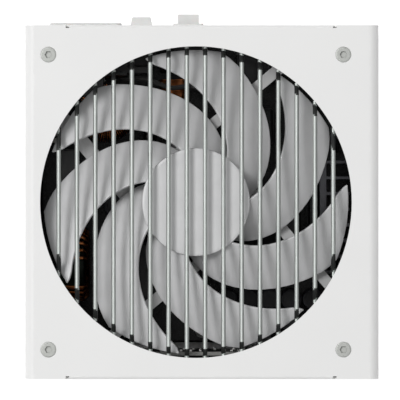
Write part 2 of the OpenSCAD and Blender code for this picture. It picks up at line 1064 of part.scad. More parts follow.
module power_transistors() {
    color("black")
        for (y = [-47, -30, -13, 4])
            translate([-0.95, y - 7.8, top + 6])
                cube([4.8, 15.6, 20]);
}

// A pair of E cores: an outer frame with a centre post
module e_core(w, d, h, leg) {
    difference() {
        block(0, 0, 0, [w, d, h]);
        for (s = [-1, 1])
            block(0, s * (d / 4 - leg / 8), leg, [w + 2, d / 2 - 1.75 * leg, h - 2 * leg]);
    }
}

module transformer_core() {
    color("dimgray")
        translate([26, -8, top + 1])
            e_core(16, 42, 34, 6);
}

module transformer_winding() {
    color("gold")
        translate([26, -8, top + 7.3])
            difference() {
                block(0, 0, 0, [34, 28, 21.4]);
                block(0, 0, -1, [16.6, 10.2, 24]);
            }
}

module resonant_core() {
    color("dimgray")
        translate([22, 33, top + 1])
            e_core(10, 26, 22, 4);
}

module resonant_winding() {
    color("peru")
        translate([22, 33, top + 5.3])
            difference() {
                block(0, 0, 0, [20, 17.4, 13.4]);
                block(0, 0, -1, [10.6, 6.6, 16]);
            }
}

module standby_transformer() {
    color("khaki")
        union() {
            block(24, 60, top, [18, 16, 4]);
            block(24, 60, top + 3.9, [12, 16, 14]);
            block(24, 60, top + 7, [18, 10, 8]);
        }
}

module rectifier_board() {
    color("darkgreen")
        union() {
            translate([47, -32, top])
                cube([board_t, 50, 32]);
            for (y = [-28, -16, -4, 8], z = [4, 18])
                translate([48.5, y, top + z])
                    cube([1.2, 6, 5]);
        }
}

module secondary_heatsink() {
    color("gray")
        union() {
            translate([51, -32, top])
                cube([3, 50, 36]);
            for (i = [0:7])
                translate([53.9, -31 + i * 6.8, top + 4])
                    cube([10, 1.4, 32]);
        }
}

module output_capacitors() {
    color("slategray")
        for (i = [0:5], j = [0, 1])
            translate([11 + i * 9.4, j == 0 ? -42.5 : -52.5, top])
                union() {
                    cylinder(h = 17.4, r = 4.6);
                    translate([0, 0, 17.4])
                        cylinder(h = 0.6, r1 = 4.6, r2 = 4);
                }
}

module control_board() {
    color("darkgreen")
        union() {
            translate([38, 43, top])
                cube([28, board_t, 26]);
            for (x = [42, 54])
                translate([x, 42, top + 8])
                    cube([7, 1.1, 7]);
        }
}

// ---------------------------------------------------------------- outputs

module output_busbars() {
    color("darkgoldenrod")
        for (x = [13, 27, 41, 54])
            union() {
                translate([x - 3.5, -60, top])
                    cube([7, 1.2, 8]);
                translate([x - 3.5, -64.1, top + 6.8])
                    cube([7, 5.3, 1.2]);
            }
}

module socket_board() {
    color("darkgreen")
        difference() {
            translate([-68, socket_y, top + 1])
                cube([136, board_t, 47]);
            for (s = SOCKETS)
                socket_cells(s, 1.1, socket_y - 1, board_t + 2);
        }
}

// Square cells on a socket's grid
module socket_cells(s, size, y, t) {
    for (i = [0:s[2] - 1], j = [0, 1])
        translate([
            s[0] + (i - (s[2] - 1) / 2) * s[3] - size / 2,
            y,
            s[1] + (j - 0.5) * s[3] - size / 2
        ])
            cube([size, t, size]);
}

module power_sockets() {
    color("black")
        for (s = SOCKETS)
            difference() {
                translate([s[0] - socket_w(s) / 2, -hd + 0.2, s[1] - socket_h(s) / 2])
                    cube([socket_w(s), hd + socket_y - 0.2, socket_h(s)]);
                socket_cells(s, s[3] - 0.8, -hd - 1, 8);
                socket_cells(s, 1.1, -hd + 1, 12);
            }
}

module socket_pins() {
    color("gold")
        for (s = SOCKETS)
            socket_cells(s, 1, -hd + 2, hd + socket_y + board_t - 1.4);
}

module fan_plug() {
    color("white")
        difference() {
            block(-64, 30, top, [6, 8, 8]);
            for (y = [-1.3, 1.3])
                translate([-64, 30 + y, top + 4])
                    cylinder(h = 8, r = 0.75);
        }
}

// Two wires from the fan's circuit board along the wide strut and down to the plug
module fan_lead() {
    out = strut_turn + 90;
    side = out + 90;
    function along(r, off) =
        [fan_x + r * cos(out) + off * cos(side), r * sin(out) + off * sin(side)];
    color("crimson")
        for (k = [-1, 1]) {
            off = strut_foot + k * 0.85;
            plug_y = 30 - k * 1.3;
            a = along(2, off);
            b = along(66, off);
            tube(rounded([
                [a[0], a[1], fan_low + 0.9],
                [b[0], b[1], fan_low + 0.9],
                [b[0] - 6, b[1] - 4, fan_low - 3],
                [-68.5, plug_y - k, 48],
                [-68.5, plug_y, top + 14],
                [-64, plug_y, top + 12],
                [-64, plug_y, top + 4.2]
            ], 1.6), 0.7);
        }
}

top_cover();
lower_tray();
cover_screws();
rear_nuts();
insulation_sheet();
fan_frame();
fan_screws();
fan_bearing();
stator_core();
stator_coils();
fan_circuit();
fan_rotor();
fan_shaft();
fan_yoke();
fan_magnet();
grille_ring();
grille_bars();
inlet_housing();
inlet_pins();
switch_housing();
switch_terminals();
switch_rocker();
mode_switch();
mode_button();
button_spring();
mains_leads();
earth_lead();
main_board();
standoffs();
board_screws();
filter_board();
film_capacitors();
disc_capacitors();
choke_core();
choke_winding();
line_coil();
fuse();
relay();
bridge_rectifier();
bridge_heatsink();
pfc_core();
pfc_winding();
bulk_capacitors();
primary_heatsink();
power_transistors();
resonant_core();
resonant_winding();
transformer_core();
transformer_winding();
standby_transformer();
rectifier_board();
secondary_heatsink();
output_capacitors();
control_board();
output_busbars();
socket_board();
power_sockets();
socket_pins();
fan_plug();
fan_lead();
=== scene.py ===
"""Power supply unit: the finished model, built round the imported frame.

The fan panel faces +Z and the mains panel faces +Y. Every length is in metres, in the frame of the
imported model. A finished piece has its place in its mesh, and its object sits at the origin.
"""

import logging
import math
from collections.abc import Callable, Iterator, Sequence
from contextlib import contextmanager
from dataclasses import dataclass, field
from enum import Enum

import bpy
from mathutils import Matrix, Vector


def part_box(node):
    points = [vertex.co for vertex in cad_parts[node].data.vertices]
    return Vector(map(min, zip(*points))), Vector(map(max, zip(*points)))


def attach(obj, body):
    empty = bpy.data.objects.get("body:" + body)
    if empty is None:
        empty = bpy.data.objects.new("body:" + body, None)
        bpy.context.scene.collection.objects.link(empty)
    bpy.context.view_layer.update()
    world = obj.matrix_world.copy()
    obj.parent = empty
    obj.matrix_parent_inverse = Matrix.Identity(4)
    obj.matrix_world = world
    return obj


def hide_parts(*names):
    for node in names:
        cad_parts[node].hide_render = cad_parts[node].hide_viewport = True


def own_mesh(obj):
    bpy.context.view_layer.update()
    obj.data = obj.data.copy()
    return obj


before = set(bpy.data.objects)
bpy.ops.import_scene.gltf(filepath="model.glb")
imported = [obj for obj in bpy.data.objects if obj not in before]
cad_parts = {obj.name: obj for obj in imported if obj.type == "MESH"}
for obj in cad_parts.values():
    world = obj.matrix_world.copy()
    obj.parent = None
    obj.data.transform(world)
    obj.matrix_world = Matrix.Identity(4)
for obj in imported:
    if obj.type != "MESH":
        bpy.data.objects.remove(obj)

LOG = logging.getLogger("power_supply")
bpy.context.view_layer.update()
MM = 0.001
TURN = 2 * math.pi
SMOOTH_ANGLE = math.radians(34)
FLAT_ANGLE = math.radians(0.6)
MERGE_DISTANCE = 0.002 * MM

Object = bpy.types.Object
Socket = bpy.types.NodeSocket
Colour = tuple[float, float, float]
Point = Sequence[float]


class Body(Enum):
    """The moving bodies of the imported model."""

    HOUSING = "housing"
    ROTOR = "rotor"
    ROCKER = "rocker"
    BUTTON = "button"


class Axis(Enum):
    """The direction that a turned or wound piece stands along."""

    X = (0.0, math.pi / 2, 0.0)
    Y = (-math.pi / 2, 0.0, 0.0)
    Z = (0.0, 0.0, 0.0)


# ------------------------------------------------------------------ bench: selection and modelling


def deselect() -> None:
    """Leaves edit mode and selects nothing."""
    if bpy.context.object is not None and bpy.context.object.mode != "OBJECT":
        bpy.ops.object.mode_set(mode="OBJECT")
    bpy.ops.object.select_all(action="DESELECT")


def activate(obj: Object, *others: Object) -> None:
    """Selects objects and makes the first one active.

    Args:
        obj: the object to make active.
        others: more objects to select with it.
    """
    deselect()
    for each in (obj, *others):
        each.select_set(True)
    bpy.context.view_layer.objects.active = obj


@contextmanager
def editing(obj: Object, mode: str = "FACE", everything: bool = True) -> Iterator[None]:
    """Holds an object in edit mode.

    Args:
        obj: the object to edit.
        mode: what is selected: FACE, EDGE or VERT.
        everything: whether the whole mesh is selected at the start.
    """
    activate(obj)
    bpy.ops.object.mode_set(mode="EDIT")
    bpy.ops.mesh.select_mode(type=mode)
    if everything:
        bpy.ops.mesh.select_all(action="SELECT")
    yield
    bpy.ops.object.mode_set(mode="OBJECT")


def apply_place(obj: Object) -> Object:
    """Moves an object's place, turn and scale into its mesh.

    Args:
        obj: the object.

    Returns:
        The same object.
    """
    activate(obj)
    bpy.ops.object.transform_apply(location=True, rotation=True, scale=True)
    return obj


def apply_modifiers(obj: Object) -> Object:
    """Applies every modifier of an object, in order.

    Args:
        obj: the object.

    Returns:
        The same object.
    """
    activate(obj)
    for modifier in list(obj.modifiers):
        bpy.ops.object.modifier_apply(modifier=modifier.name)
    return obj


def recalculate(obj: Object) -> Object:
    """Merges doubles and turns every face outwards.

    Args:
        obj: the object.

    Returns:
        The same object.
    """
    with editing(obj):
        bpy.ops.mesh.remove_doubles(threshold=1e-6)
        bpy.ops.mesh.normals_make_consistent(inside=False)
    return obj


def box(name: str, size: Point, centre: Point) -> Object:
    """A cuboid to start a piece from.

    Args:
        name: the object's name.
        size: its lengths along X, Y and Z.
        centre: its middle.

    Returns:
        The new object, with its place in its mesh.
    """
    deselect()
    bpy.ops.mesh.primitive_cube_add(size=1, location=centre)
    obj = bpy.context.object
    obj.name = name
    obj.scale = size
    return apply_place(obj)


def turned(
    name: str, profile: Sequence[tuple[float, float]], base: Point, axis: Axis = Axis.Z, sides: int = 48
) -> Object:
    """A turned piece: a disc drawn out step by step along its axis.

    Args:
        name: the object's name.
        profile: radius and height of each step, from the first disc to the last one.
        base: the point that heights are measured from.
        axis: the direction of the axis.
        sides: how many sides the rounds have.

    Returns:
        The new closed object, with its place in its mesh.
    """
    deselect()
    radius, height = profile[0]
    bpy.ops.mesh.primitive_circle_add(
        vertices=sides, radius=radius, fill_type="NGON", location=(0, 0, height)
    )
    obj = bpy.context.object
    obj.name = name
    apply_place(obj)
    with editing(obj):
        for next_radius, next_height in profile[1:]:
            bpy.ops.mesh.extrude_region_move(
                TRANSFORM_OT_translate={"value": (0, 0, next_height - height)}
            )
            share = next_radius / radius
            bpy.ops.transform.resize(value=(share, share, 1), center_override=(0, 0, next_height))
            radius, height = next_radius, next_height
        bpy.ops.mesh.select_all(action="SELECT")
        bpy.ops.mesh.normals_make_consistent(inside=False)
    obj.rotation_euler = axis.value
    obj.location = base
    return apply_place(obj)


def hollow_turned(
    name: str, outline: Sequence[tuple[float, float]], base: Point, axis: Axis = Axis.Z, sides: int = 48
) -> Object:
    """A ring with any closed section: the section's edges are spun round the axis.

    Args:
        name: the object's name.
        outline: radius and height of each corner of the section, in order.
        base: the point that heights are measured from.
        axis: the direction of the axis.
        sides: how many sides the rounds have.

    Returns:
        The new closed object, with its place in its mesh.
    """
    deselect()
    bpy.ops.mesh.primitive_circle_add(vertices=len(outline), radius=1, fill_type="NOTHING")
    obj = bpy.context.object
    obj.name = name
    for vertex, (radius, height) in zip(obj.data.vertices, outline):
        vertex.co = (radius, 0, height)
    with editing(obj, mode="VERT"):
        bpy.ops.mesh.spin(steps=sides, angle=TURN, center=(0, 0, 0), axis=(0, 0, 1))
    recalculate(obj)
    obj.rotation_euler = axis.value
    obj.location = base
    return apply_place(obj)


def tube(name: str, points: Sequence[Point], radius: float, sides: int = 8, closed: bool = False) -> Object:
    """A round wire along a line of points.

    Args:
        name: the object's name.
        points: the line that the wire follows.
        radius: the wire's radius.
        sides: how many sides its section has, a multiple of four.
        closed: whether the wire runs back into its start.

    Returns:
        The new closed object, with its place in its mesh.
    """
    deselect()
    bpy.ops.curve.primitive_bezier_curve_add(location=(0, 0, 0))
    obj = bpy.context.object
    obj.name = name
    curve = obj.data
    curve.splines.clear()
    line = curve.splines.new("POLY")
    line.points.add(len(points) - 1)
    for knot, point in zip(line.points, points):
        knot.co = (*point, 1)
    line.use_cyclic_u = closed
    curve.dimensions = "3D"
    curve.twist_mode = "MINIMUM"
    curve.bevel_depth = radius
    curve.bevel_resolution = sides // 2 - 2
    curve.use_fill_caps = not closed
    bpy.ops.object.convert(target="MESH")
    obj = bpy.context.object
    obj.name = name
    return recalculate(obj)


def join(name: str, parts: Sequence[Object]) -> Object:
    """Joins objects into one piece.

    Args:
        name: the piece's name.
        parts: the objects, which are used up.

    Returns:
        The joined object.
    """
    activate(*parts)
    if len(parts) > 1:
        bpy.ops.object.join()
    parts[0].name = name
    return parts[0]


def repeat(name: str, pattern: Object, moves: Sequence[Matrix]) -> Object:
    """Copies a pattern to several places, each copy with its own mesh, and joins the copies.

    Args:
        name: the joined piece's name.
        pattern: the object to copy, which is used up.
        moves: where each copy goes, from the place of the pattern.

    Returns:
        The joined object.
    """
    made = []
    for move in moves:
        activate(pattern)
        bpy.ops.object.duplicate(linked=False)
        copy = bpy.context.object
        copy.data.transform(move)
        made.append(copy)
    bpy.data.objects.remove(pattern)
    return join(name, made)


def shift(*offset: float) -> Matrix:
    """A move.

    Args:
        offset: how far along X, Y and Z.

    Returns:
        The move as a matrix.
    """
    return Matrix.Translation(offset)


def about(centre: Point, angle: float) -> Matrix:
    """A turn round a line along Z.

    Args:
        centre: a point on the line.
        angle: the turn in radians.

    Returns:
        The turn as a matrix.
    """
    return Matrix.Translation(centre) @ Matrix.Rotation(angle, 4, "Z") @ Matrix.Translation(-Vector(centre))


def carve(obj: Object, *cutters: Object) -> Object:
    """Cuts the shapes of other objects out of a piece.

    Args:
        obj: the piece to cut.
        cutters: the shapes to remove, which are used up.

    Returns:
        The piece.
    """
    for cutter in cutters:
        modifier = obj.modifiers.new("cut", "BOOLEAN")
        modifier.operation = "DIFFERENCE"
        modifier.solver = "EXACT"
        modifier.object = cutter
        apply_modifiers(obj)
        bpy.data.objects.remove(cutter)
    return obj


def traced(node: str, name: str) -> Object:
    """A clean copy of a CAD node: its loose triangles merged and its flat faces made whole.

    Args:
        node: the CAD node's name.
        name: the copy's name.

    Returns:
        The copy, with a mesh of its own.
    """
    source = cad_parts[node]
    mesh = source.data.copy()
    mesh.materials.clear()
    obj = bpy.data.objects.new(name, mesh)
    bpy.context.scene.collection.objects.link(obj)
    activate(obj)
    if mesh.has_custom_normals:
        bpy.ops.mesh.customdata_custom_splitnormals_clear()
    with editing(obj):
        bpy.ops.mesh.remove_doubles(threshold=MERGE_DISTANCE)
        bpy.ops.mesh.dissolve_limited(angle_limit=FLAT_ANGLE)
    return obj


def ease(obj: Object, width: float, rows: int = 2, angle: float = 38.0) -> Object:
    """Rounds a piece's edges and shades it.

    Args:
        obj: the piece.
        width: how far the rounding reaches from an edge; 0 leaves the edges sharp.
        rows: how many rows of faces a rounding has.
        angle: the least angle of an edge that is rounded, in degrees.

    Returns:
        The piece.
    """
    if width > 0:
        bevel = obj.modifiers.new("round", "BEVEL")
        bevel.width = width
        bevel.segments = rows
        bevel.limit_method = "ANGLE"
        bevel.angle_limit = math.radians(angle)
        bevel.use_clamp_overlap = True
        bevel.miter_outer = "MITER_ARC"
        apply_modifiers(obj)
    activate(obj)
    bpy.ops.object.shade_smooth_by_angle(angle=SMOOTH_ANGLE)
    weigh = obj.modifiers.new("even", "WEIGHTED_NORMAL")
    weigh.keep_sharp = True
    return apply_modifiers(obj)


# ------------------------------------------------------------------ finishes


class Graph:
    """The nodes of one material, built up link by link."""

    def __init__(self, name: str) -> None:
        """Starts a material with a Principled shader.

        Args:
            name: the material's name.
        """
        self.material = bpy.data.materials.new(name)
        self.material.use_nodes = True
        self.tree = self.material.node_tree
        self.shader = self.tree.nodes["Principled BSDF"]
        self.place = self.tree.nodes.new("ShaderNodeTexCoord").outputs["Object"]

    def node(self, kind: str, links: dict[str, Socket] | None = None, **values: float) -> bpy.types.Node:
        """Adds a node.

        Args:
            kind: the node's type name.
            links: sockets to join to its inputs, by input name.
            values: values for its inputs, by input name with underscores for spaces.

        Returns:
            The new node.
        """
        made = self.tree.nodes.new(kind)
        for name, value in values.items():
            made.inputs[name.replace("_", " ")].default_value = value
        for name, socket in (links or {}).items():
            self.tree.links.new(socket, made.inputs[name])
        return made

    def stretched(self, scale: Point, centre: Point = (0, 0, 0), turn: Point = (0, 0, 0)) -> Socket:
        """Object coordinates that are scaled differently along each axis.

        Args:
            scale: the factor along X, Y and Z.
            centre: the point that stays at zero.
            turn: a turn round X, Y and Z.

        Returns:
            The coordinates.
        """
        made = self.node("ShaderNodeMapping", {"Vector": self.place})
        made.inputs["Scale"].default_value = scale
        made.inputs["Location"].default_value = [-c * s for c, s in zip(centre, scale)]
        made.inputs["Rotation"].default_value = turn
        return made.outputs["Vector"]

    def noise(
        self, grain: float, detail: float = 4, rough: float = 0.55, place: Socket | None = None
    ) -> Socket:
        """Cloudy noise.

        Args:
            grain: the size of a cloud in metres.
            detail: how many finer layers it has.
            rough: how strong the finer layers are.
            place: the coordinates, or none for the piece's own.

        Returns:
            A value from 0 to 1.
        """
        made = self.node(
            "ShaderNodeTexNoise",
            {"Vector": place or self.place},
            Scale=1 / grain,
            Detail=detail,
            Roughness=rough,
        )
        return made.outputs["Fac"]

    def cells(self, size: float, feature: str = "F1", place: Socket | None = None) -> Socket:
        """Distance inside random cells.

        Args:
            size: the size of a cell in metres.
            feature: F1 for dots, or DISTANCE_TO_EDGE for a net.
            place: the coordinates, or none for the piece's own.

        Returns:
            The distance, as a value.
        """
        made = self.node("ShaderNodeTexVoronoi", {"Vector": place or self.place}, Scale=1 / size)
        made.feature = feature
        return made.outputs["Distance"]

    def bands(self, pitch: float, axis: str = "Z", wander: float = 0.0) -> Socket:
        """Even bands across one axis.

        Args:
            pitch: the distance between two bands in metres.
            axis: the axis that the bands follow each other along.
            wander: how much the bands wander.

        Returns:
            A value from 0 to 1.
        """
        made = self.node(
            "ShaderNodeTexWave",
            {"Vector": self.place},
            Scale=math.pi / (10 * pitch),
            Distortion=wander,
            Detail=1.5,
        )
        made.bands_direction = axis
        return made.outputs["Fac"]

    def facing(self) -> Socket:
        """How far a face looks along Z.

        Returns:
            A value from 0 to 1, the same for up and down.
        """
        normal = self.node("ShaderNodeTexCoord").outputs["Normal"]
        height = self.node("ShaderNodeSeparateXYZ", {"Vector": normal}).outputs["Z"]
        made = self.node("ShaderNodeMath", {0: height})
        made.operation = "ABSOLUTE"
        return made.outputs["Value"]

    def ramp(self, value: Socket, *stops: tuple[float, Colour]) -> Socket:
        """Colours along a value.

        Args:
            value: the value to colour.
            stops: places from 0 to 1, each with its colour.

        Returns:
            The colour.
        """
        made = self.node("ShaderNodeValToRGB", {"Fac": value})
        elements = made.color_ramp.elements
        while len(elements) < len(stops):
            elements.new(0.5)
        for element, (at, colour) in zip(elements, stops):
            element.position = at
            element.color = (*colour, 1)
        return made.outputs["Color"]

    def spread(
        self, value: Socket, low: float, high: float, start: float = 0.3, end: float = 0.7
    ) -> Socket:
        """A value mapped onto a range.

        Args:
            value: the value to map.
            low: what start becomes.
            high: what end becomes.
            start: the value that becomes low.
            end: the value that becomes high.

        Returns:
            The mapped value.
        """
        made = self.node("ShaderNodeMapRange", {"Value": value})
        for name, number in (("From Min", start), ("From Max", end), ("To Min", low), ("To Max", high)):
            made.inputs[name].default_value = number
        return made.outputs["Result"]

    def blend(self, share: Socket, first: Socket, second: Socket) -> Socket:
        """Mixes two colours.

        Args:
            share: how much of the second one shows.
            first: the first colour.
            second: the second colour.

        Returns:
            The mixed colour.
        """
        made = self.node("ShaderNodeMixRGB", {"Fac": share, "Color1": first, "Color2": second})
        return made.outputs["Color"]

    def sum(self, first: Socket, second: Socket, share: float = 1.0) -> Socket:
        """Adds a share of a second value to a first one.

        Args:
            first: the first value.
            second: the second value.
            share: how much of the second value is added.

        Returns:
            The sum.
        """
        made = self.node("ShaderNodeMath", {0: second, 2: first})
        made.operation = "MULTIPLY_ADD"
        made.inputs[1].default_value = share
        return made.outputs["Value"]

    def relief(self, height: Socket, depth: float, strength: float = 1.0) -> None:
        """Gives the shader a relief.

        Args:
            height: the height from 0 to 1.
            depth: what a height of 1 is in metres.
            strength: how much of the relief shows.
        """
        made = self.node("ShaderNodeBump", {"Height": height}, Distance=depth, Strength=strength)
        self.wire("Normal", made.outputs["Normal"])

    def wire(self, name: str, socket: Socket) -> None:
        """Joins a socket to one of the shader's inputs.

        Args:
            name: the input's name.
            socket: the socket to join to it.
        """
        self.tree.links.new(socket, self.shader.inputs[name])

    def fix(self, **values: float | Colour) -> None:
        """Sets inputs of the shader that are the same all over.

        Args:
            values: the values, by input name with underscores for spaces.
        """
        for name, value in values.items():
            given = (*value, 1) if isinstance(value, tuple) else value
            self.shader.inputs[name.replace("_", " ")].default_value = given


def darker(colour: Colour, share: float) -> Colour:
    """A colour made darker or lighter.

    Args:
        colour: the colour.
        share: what it is multiplied by.

    Returns:
        The new colour.
    """
    return tuple(min(1.0, c * share) for c in colour)


@dataclass(frozen=True)
class Finish:
    """A surface finish.

    Attributes:
        name: the finish's name, which is its material's name too.
        colour: its main colour.
    """

    name: str
    colour: Colour

    def material(self) -> bpy.types.Material:
        """The finish as a material, which is built once.

        Returns:
            The material.
        """
        made = bpy.data.materials.get(self.name)
        if made is None:
            graph = Graph(self.name)
            self.paint(graph)
            made = graph.material
        return made

    def paint(self, graph: Graph) -> None:
        """Builds the finish's nodes.

        Args:
            graph: the graph to build them into.
        """
        raise NotImplementedError


@dataclass(frozen=True)
class PowderCoat(Finish):
    """Baked powder paint on sheet steel: a fine orange peel with faint clouds."""

    rough: float = 0.46

    def paint(self, graph: Graph) -> None:
        """Builds the paint's nodes.

        Args:
            graph: the graph to build them into.
        """
        cloud = graph.noise(0.03, detail=2)
        graph.wire("Base Color", graph.ramp(cloud, (0.3, darker(self.colour, 0.985)), (0.7, self.colour)))
        peel = graph.noise(0.0006, detail=2, rough=0.5)
        graph.wire("Roughness", graph.spread(graph.noise(0.004), self.rough - 0.04, self.rough + 0.05))
        graph.relief(peel, 0.012 * MM, 0.5)
        graph.fix(Specular_IOR_Level=0.45)


@dataclass(frozen=True)
class PlatedSteel(Finish):
    """Plated or polished metal with fine drawing lines along one axis and faint handling marks.

    Attributes:
        rough: the least roughness.
        grain: how a drawing line is stretched along X, Y and Z.
        metal: how metallic it is.
        depth: the depth of a drawing line in metres.
    """

    rough: float = 0.22
    grain: tuple[float, float, float] = (1.0, 1.0, 1.0)
    metal: float = 1.0
    depth: float = 0.004 * MM

    def paint(self, graph: Graph) -> None:
        """Builds the metal's nodes.

        Args:
            graph: the graph to build them into.
        """
        lines = graph.noise(0.0004, detail=3, place=graph.stretched(self.grain))
        marks = graph.noise(0.006, detail=5, rough=0.65)
        graph.wire("Base Color", graph.ramp(marks, (0.3, darker(self.colour, 0.86)), (0.65, self.colour)))
        worn = graph.sum(marks, lines, 0.5)
        graph.wire("Roughness", graph.spread(worn, self.rough, self.rough + 0.16, 0.4, 1))
        graph.relief(lines, self.depth, 0.6)
        graph.fix(Metallic=self.metal)


@dataclass(frozen=True)
class MouldedPlastic(Finish):
    """Injection-moulded plastic: a spark-eroded grain and slow changes of gloss.

    Attributes:
        rough: the middle roughness.
        grain: the size of the surface grain in metres.
        depth: the depth of the grain in metres.
        bleed: how much light passes under the surface.
        gloss: how strongly the surface reflects.
    """

    rough: float = 0.4
    grain: float = 0.0004
    depth: float = 0.008 * MM
    bleed: float = 0.0
    gloss: float = 0.5

    def paint(self, graph: Graph) -> None:
        """Builds the plastic's nodes.

        Args:
            graph: the graph to build them into.
        """
        flow = graph.noise(0.012, detail=3)
        graph.wire("Base Color", graph.ramp(flow, (0.35, darker(self.colour, 0.93)), (0.65, self.colour)))
        graph.wire("Roughness", graph.spread(flow, self.rough - 0.05, self.rough + 0.07))
        graph.relief(graph.noise(self.grain, detail=2), self.depth, 0.6)
        graph.fix(Subsurface_Weight=self.bleed, Subsurface_Scale=0.001, Specular_IOR_Level=self.gloss)


@dataclass(frozen=True)
class EnamelledCopper(Finish):
    """Copper wire under clear enamel, a little darker where the heat has been."""

    def paint(self, graph: Graph) -> None:
        """Builds the wire's nodes.

        Args:
            graph: the graph to build them into.
        """
        heat = graph.noise(0.005, detail=4)
        graph.wire("Base Color", graph.ramp(heat, (0.3, darker(self.colour, 0.62)), (0.7, self.colour)))
        graph.wire("Roughness", graph.spread(graph.noise(0.0012), 0.22, 0.36))
        graph.relief(graph.noise(0.0005, detail=2), 0.006 * MM, 0.5)
        graph.fix(Metallic=0.85, Coat_Weight=0.6, Coat_Roughness=0.12)


@dataclass(frozen=True)
class BoardLacquer(Finish):
    """Solder mask over copper tracks: the tracks show a little lighter and stand a little proud.

    Attributes:
        upright: whether the board stands, so that its faces along Z are cut edges of bare laminate.
    """

    upright: bool = False

    def paint(self, graph: Graph) -> None:
        """Builds the board's nodes.

        Args:
            graph: the graph to build them into.
        """
        net = graph.cells(0.007, "DISTANCE_TO_EDGE", graph.stretched((1.0, 1.7, 1.0)))
        track = graph.spread(net, 1.0, 0.0, 0.05, 0.09)
        weave = graph.noise(0.0009, detail=2, place=graph.stretched((1.0, 4.0, 1.0)))
        mask = graph.ramp(weave, (0.3, darker(self.colour, 0.8)), (0.7, self.colour))
        lit = graph.ramp(weave, (0.3, darker(self.colour, 1.7)), (0.7, darker(self.colour, 2.1)))
        face = graph.blend(track, mask, lit)
        if self.upright:
            edge = graph.ramp(weave, (0.3, (0.27, 0.27, 0.26)), (0.7, (0.36, 0.36, 0.345)))
            face = graph.blend(graph.spread(graph.facing(), 0.0, 1.0, 0.6, 0.8), face, edge)
        graph.wire("Base Color", face)
        graph.wire("Roughness", graph.spread(weave, 0.24, 0.36))
        graph.relief(graph.sum(track, weave, 0.15), 0.03 * MM, 0.8)
        graph.fix(Coat_Weight=0.1, Coat_Roughness=0.2, Specular_IOR_Level=0.25)


@dataclass(frozen=True)
class ShrinkSleeve(Finish):
    """A printed plastic sleeve, drawn tight, with faint vertical streaks."""

    rough: float = 0.3

    def paint(self, graph: Graph) -> None:
        """Builds the sleeve's nodes.

        Args:
            graph: the graph to build them into.
        """
        streak = graph.noise(0.0012, detail=3, place=graph.stretched((1.0, 1.0, 0.08)))
        graph.wire("Base Color", graph.ramp(streak, (0.3, darker(self.colour, 0.75)), (0.7, self.colour)))
        graph.wire("Roughness", graph.spread(streak, self.rough - 0.06, self.rough + 0.08))
        graph.relief(streak, 0.02 * MM, 0.4)
        graph.fix(Coat_Weight=0.1, Coat_Roughness=0.15, Specular_IOR_Level=0.2)


@dataclass(frozen=True)
class Laminated(Finish):
    """Stacked steel sheets, seen as fine bands along Z.

    Attributes:
        pitch: the thickness of a sheet in metres.
    """

    pitch: float = 0.5 * MM

    def paint(self, graph: Graph) -> None:
        """Builds the stack's nodes.

        Args:
            graph: the graph to build them into.
        """
        stack = graph.bands(self.pitch)
        blur = graph.noise(0.002, detail=4)
        dark, light = darker(self.colour, 0.5), self.colour
        graph.wire("Base Color", graph.ramp(graph.sum(stack, blur, 0.4), (0.25, dark), (0.6, light)))
        graph.wire("Roughness", graph.spread(blur, 0.38, 0.56))
        graph.relief(stack, 0.05 * MM, 0.7)
        graph.fix(Metallic=0.8)


@dataclass(frozen=True)
class Ferrite(Finish):
    """Pressed and fired powder: matt, with fine specks and small chips.

    Attributes:
        speck: how much lighter the specks are.
        rough: the middle roughness.
    """

    speck: float = 1.8
    rough: float = 0.62

    def paint(self, graph: Graph) -> None:
        """Builds the ceramic's nodes.

        Args:
            graph: the graph to build them into.
        """
        dots = graph.cells(0.0006)
        body = graph.noise(0.004, detail=5)
        base = graph.ramp(body, (0.3, darker(self.colour, 0.8)), (0.7, self.colour))
        lit = graph.ramp(body, (0.3, self.colour), (0.7, darker(self.colour, self.speck)))
        graph.wire("Base Color", graph.blend(graph.spread(dots, 1, 0, 0.12, 0.3), base, lit))
        graph.wire("Roughness", graph.spread(body, self.rough - 0.08, self.rough + 0.1))
        graph.relief(graph.sum(body, dots, 0.4), 0.05 * MM, 0.6)
        graph.fix(Specular_IOR_Level=0.25)


@dataclass(frozen=True)
class WoundTape(Finish):
    """Thin polyester tape over a winding: overlapping turns along Z, glossy and a little see-through.

    Attributes:
        pitch: the distance between two laps in metres.
    """

    pitch: float = 3.1 * MM

    def paint(self, graph: Graph) -> None:
        """Builds the tape's nodes.

        Args:
            graph: the graph to build them into.
        """
        laps = graph.bands(self.pitch, wander=0.4)
        under = graph.noise(0.0016, detail=3, place=graph.stretched((0.2, 0.2, 1.0)))
        dark, light = darker(self.colour, 0.6), self.colour
        graph.wire("Base Color", graph.ramp(graph.sum(under, laps, 0.3), (0.3, dark), (0.75, light)))
        graph.wire("Roughness", graph.spread(under, 0.18, 0.3))
        graph.relief(graph.sum(laps, under, 0.3), 0.06 * MM, 0.6)
        graph.fix(Coat_Weight=0.12, Coat_Roughness=0.08, Specular_IOR_Level=0.2)


@dataclass(frozen=True)
class Extrusion(Finish):
    """Extruded aluminium with die lines along one axis, plain or anodised.

    Attributes:
        along: how a die line is stretched along X, Y and Z.
        metal: how metallic it is.
    """

    along: tuple[float, float, float] = (1.0, 1.0, 0.03)
    metal: float = 0.75

    def paint(self, graph: Graph) -> None:
        """Builds the aluminium's nodes.

        Args:
            graph: the graph to build them into.
        """
        lines = graph.noise(0.0005, detail=3, place=graph.stretched(self.along))
        stain = graph.noise(0.008, detail=4)
        tone = graph.sum(stain, lines, 0.3)
        graph.wire("Base Color", graph.ramp(tone, (0.4, darker(self.colour, 0.7)), (0.8, self.colour)))
        graph.wire("Roughness", graph.spread(stain, 0.36, 0.5))
        graph.relief(lines, 0.02 * MM, 0.7)
        graph.fix(Metallic=self.metal)


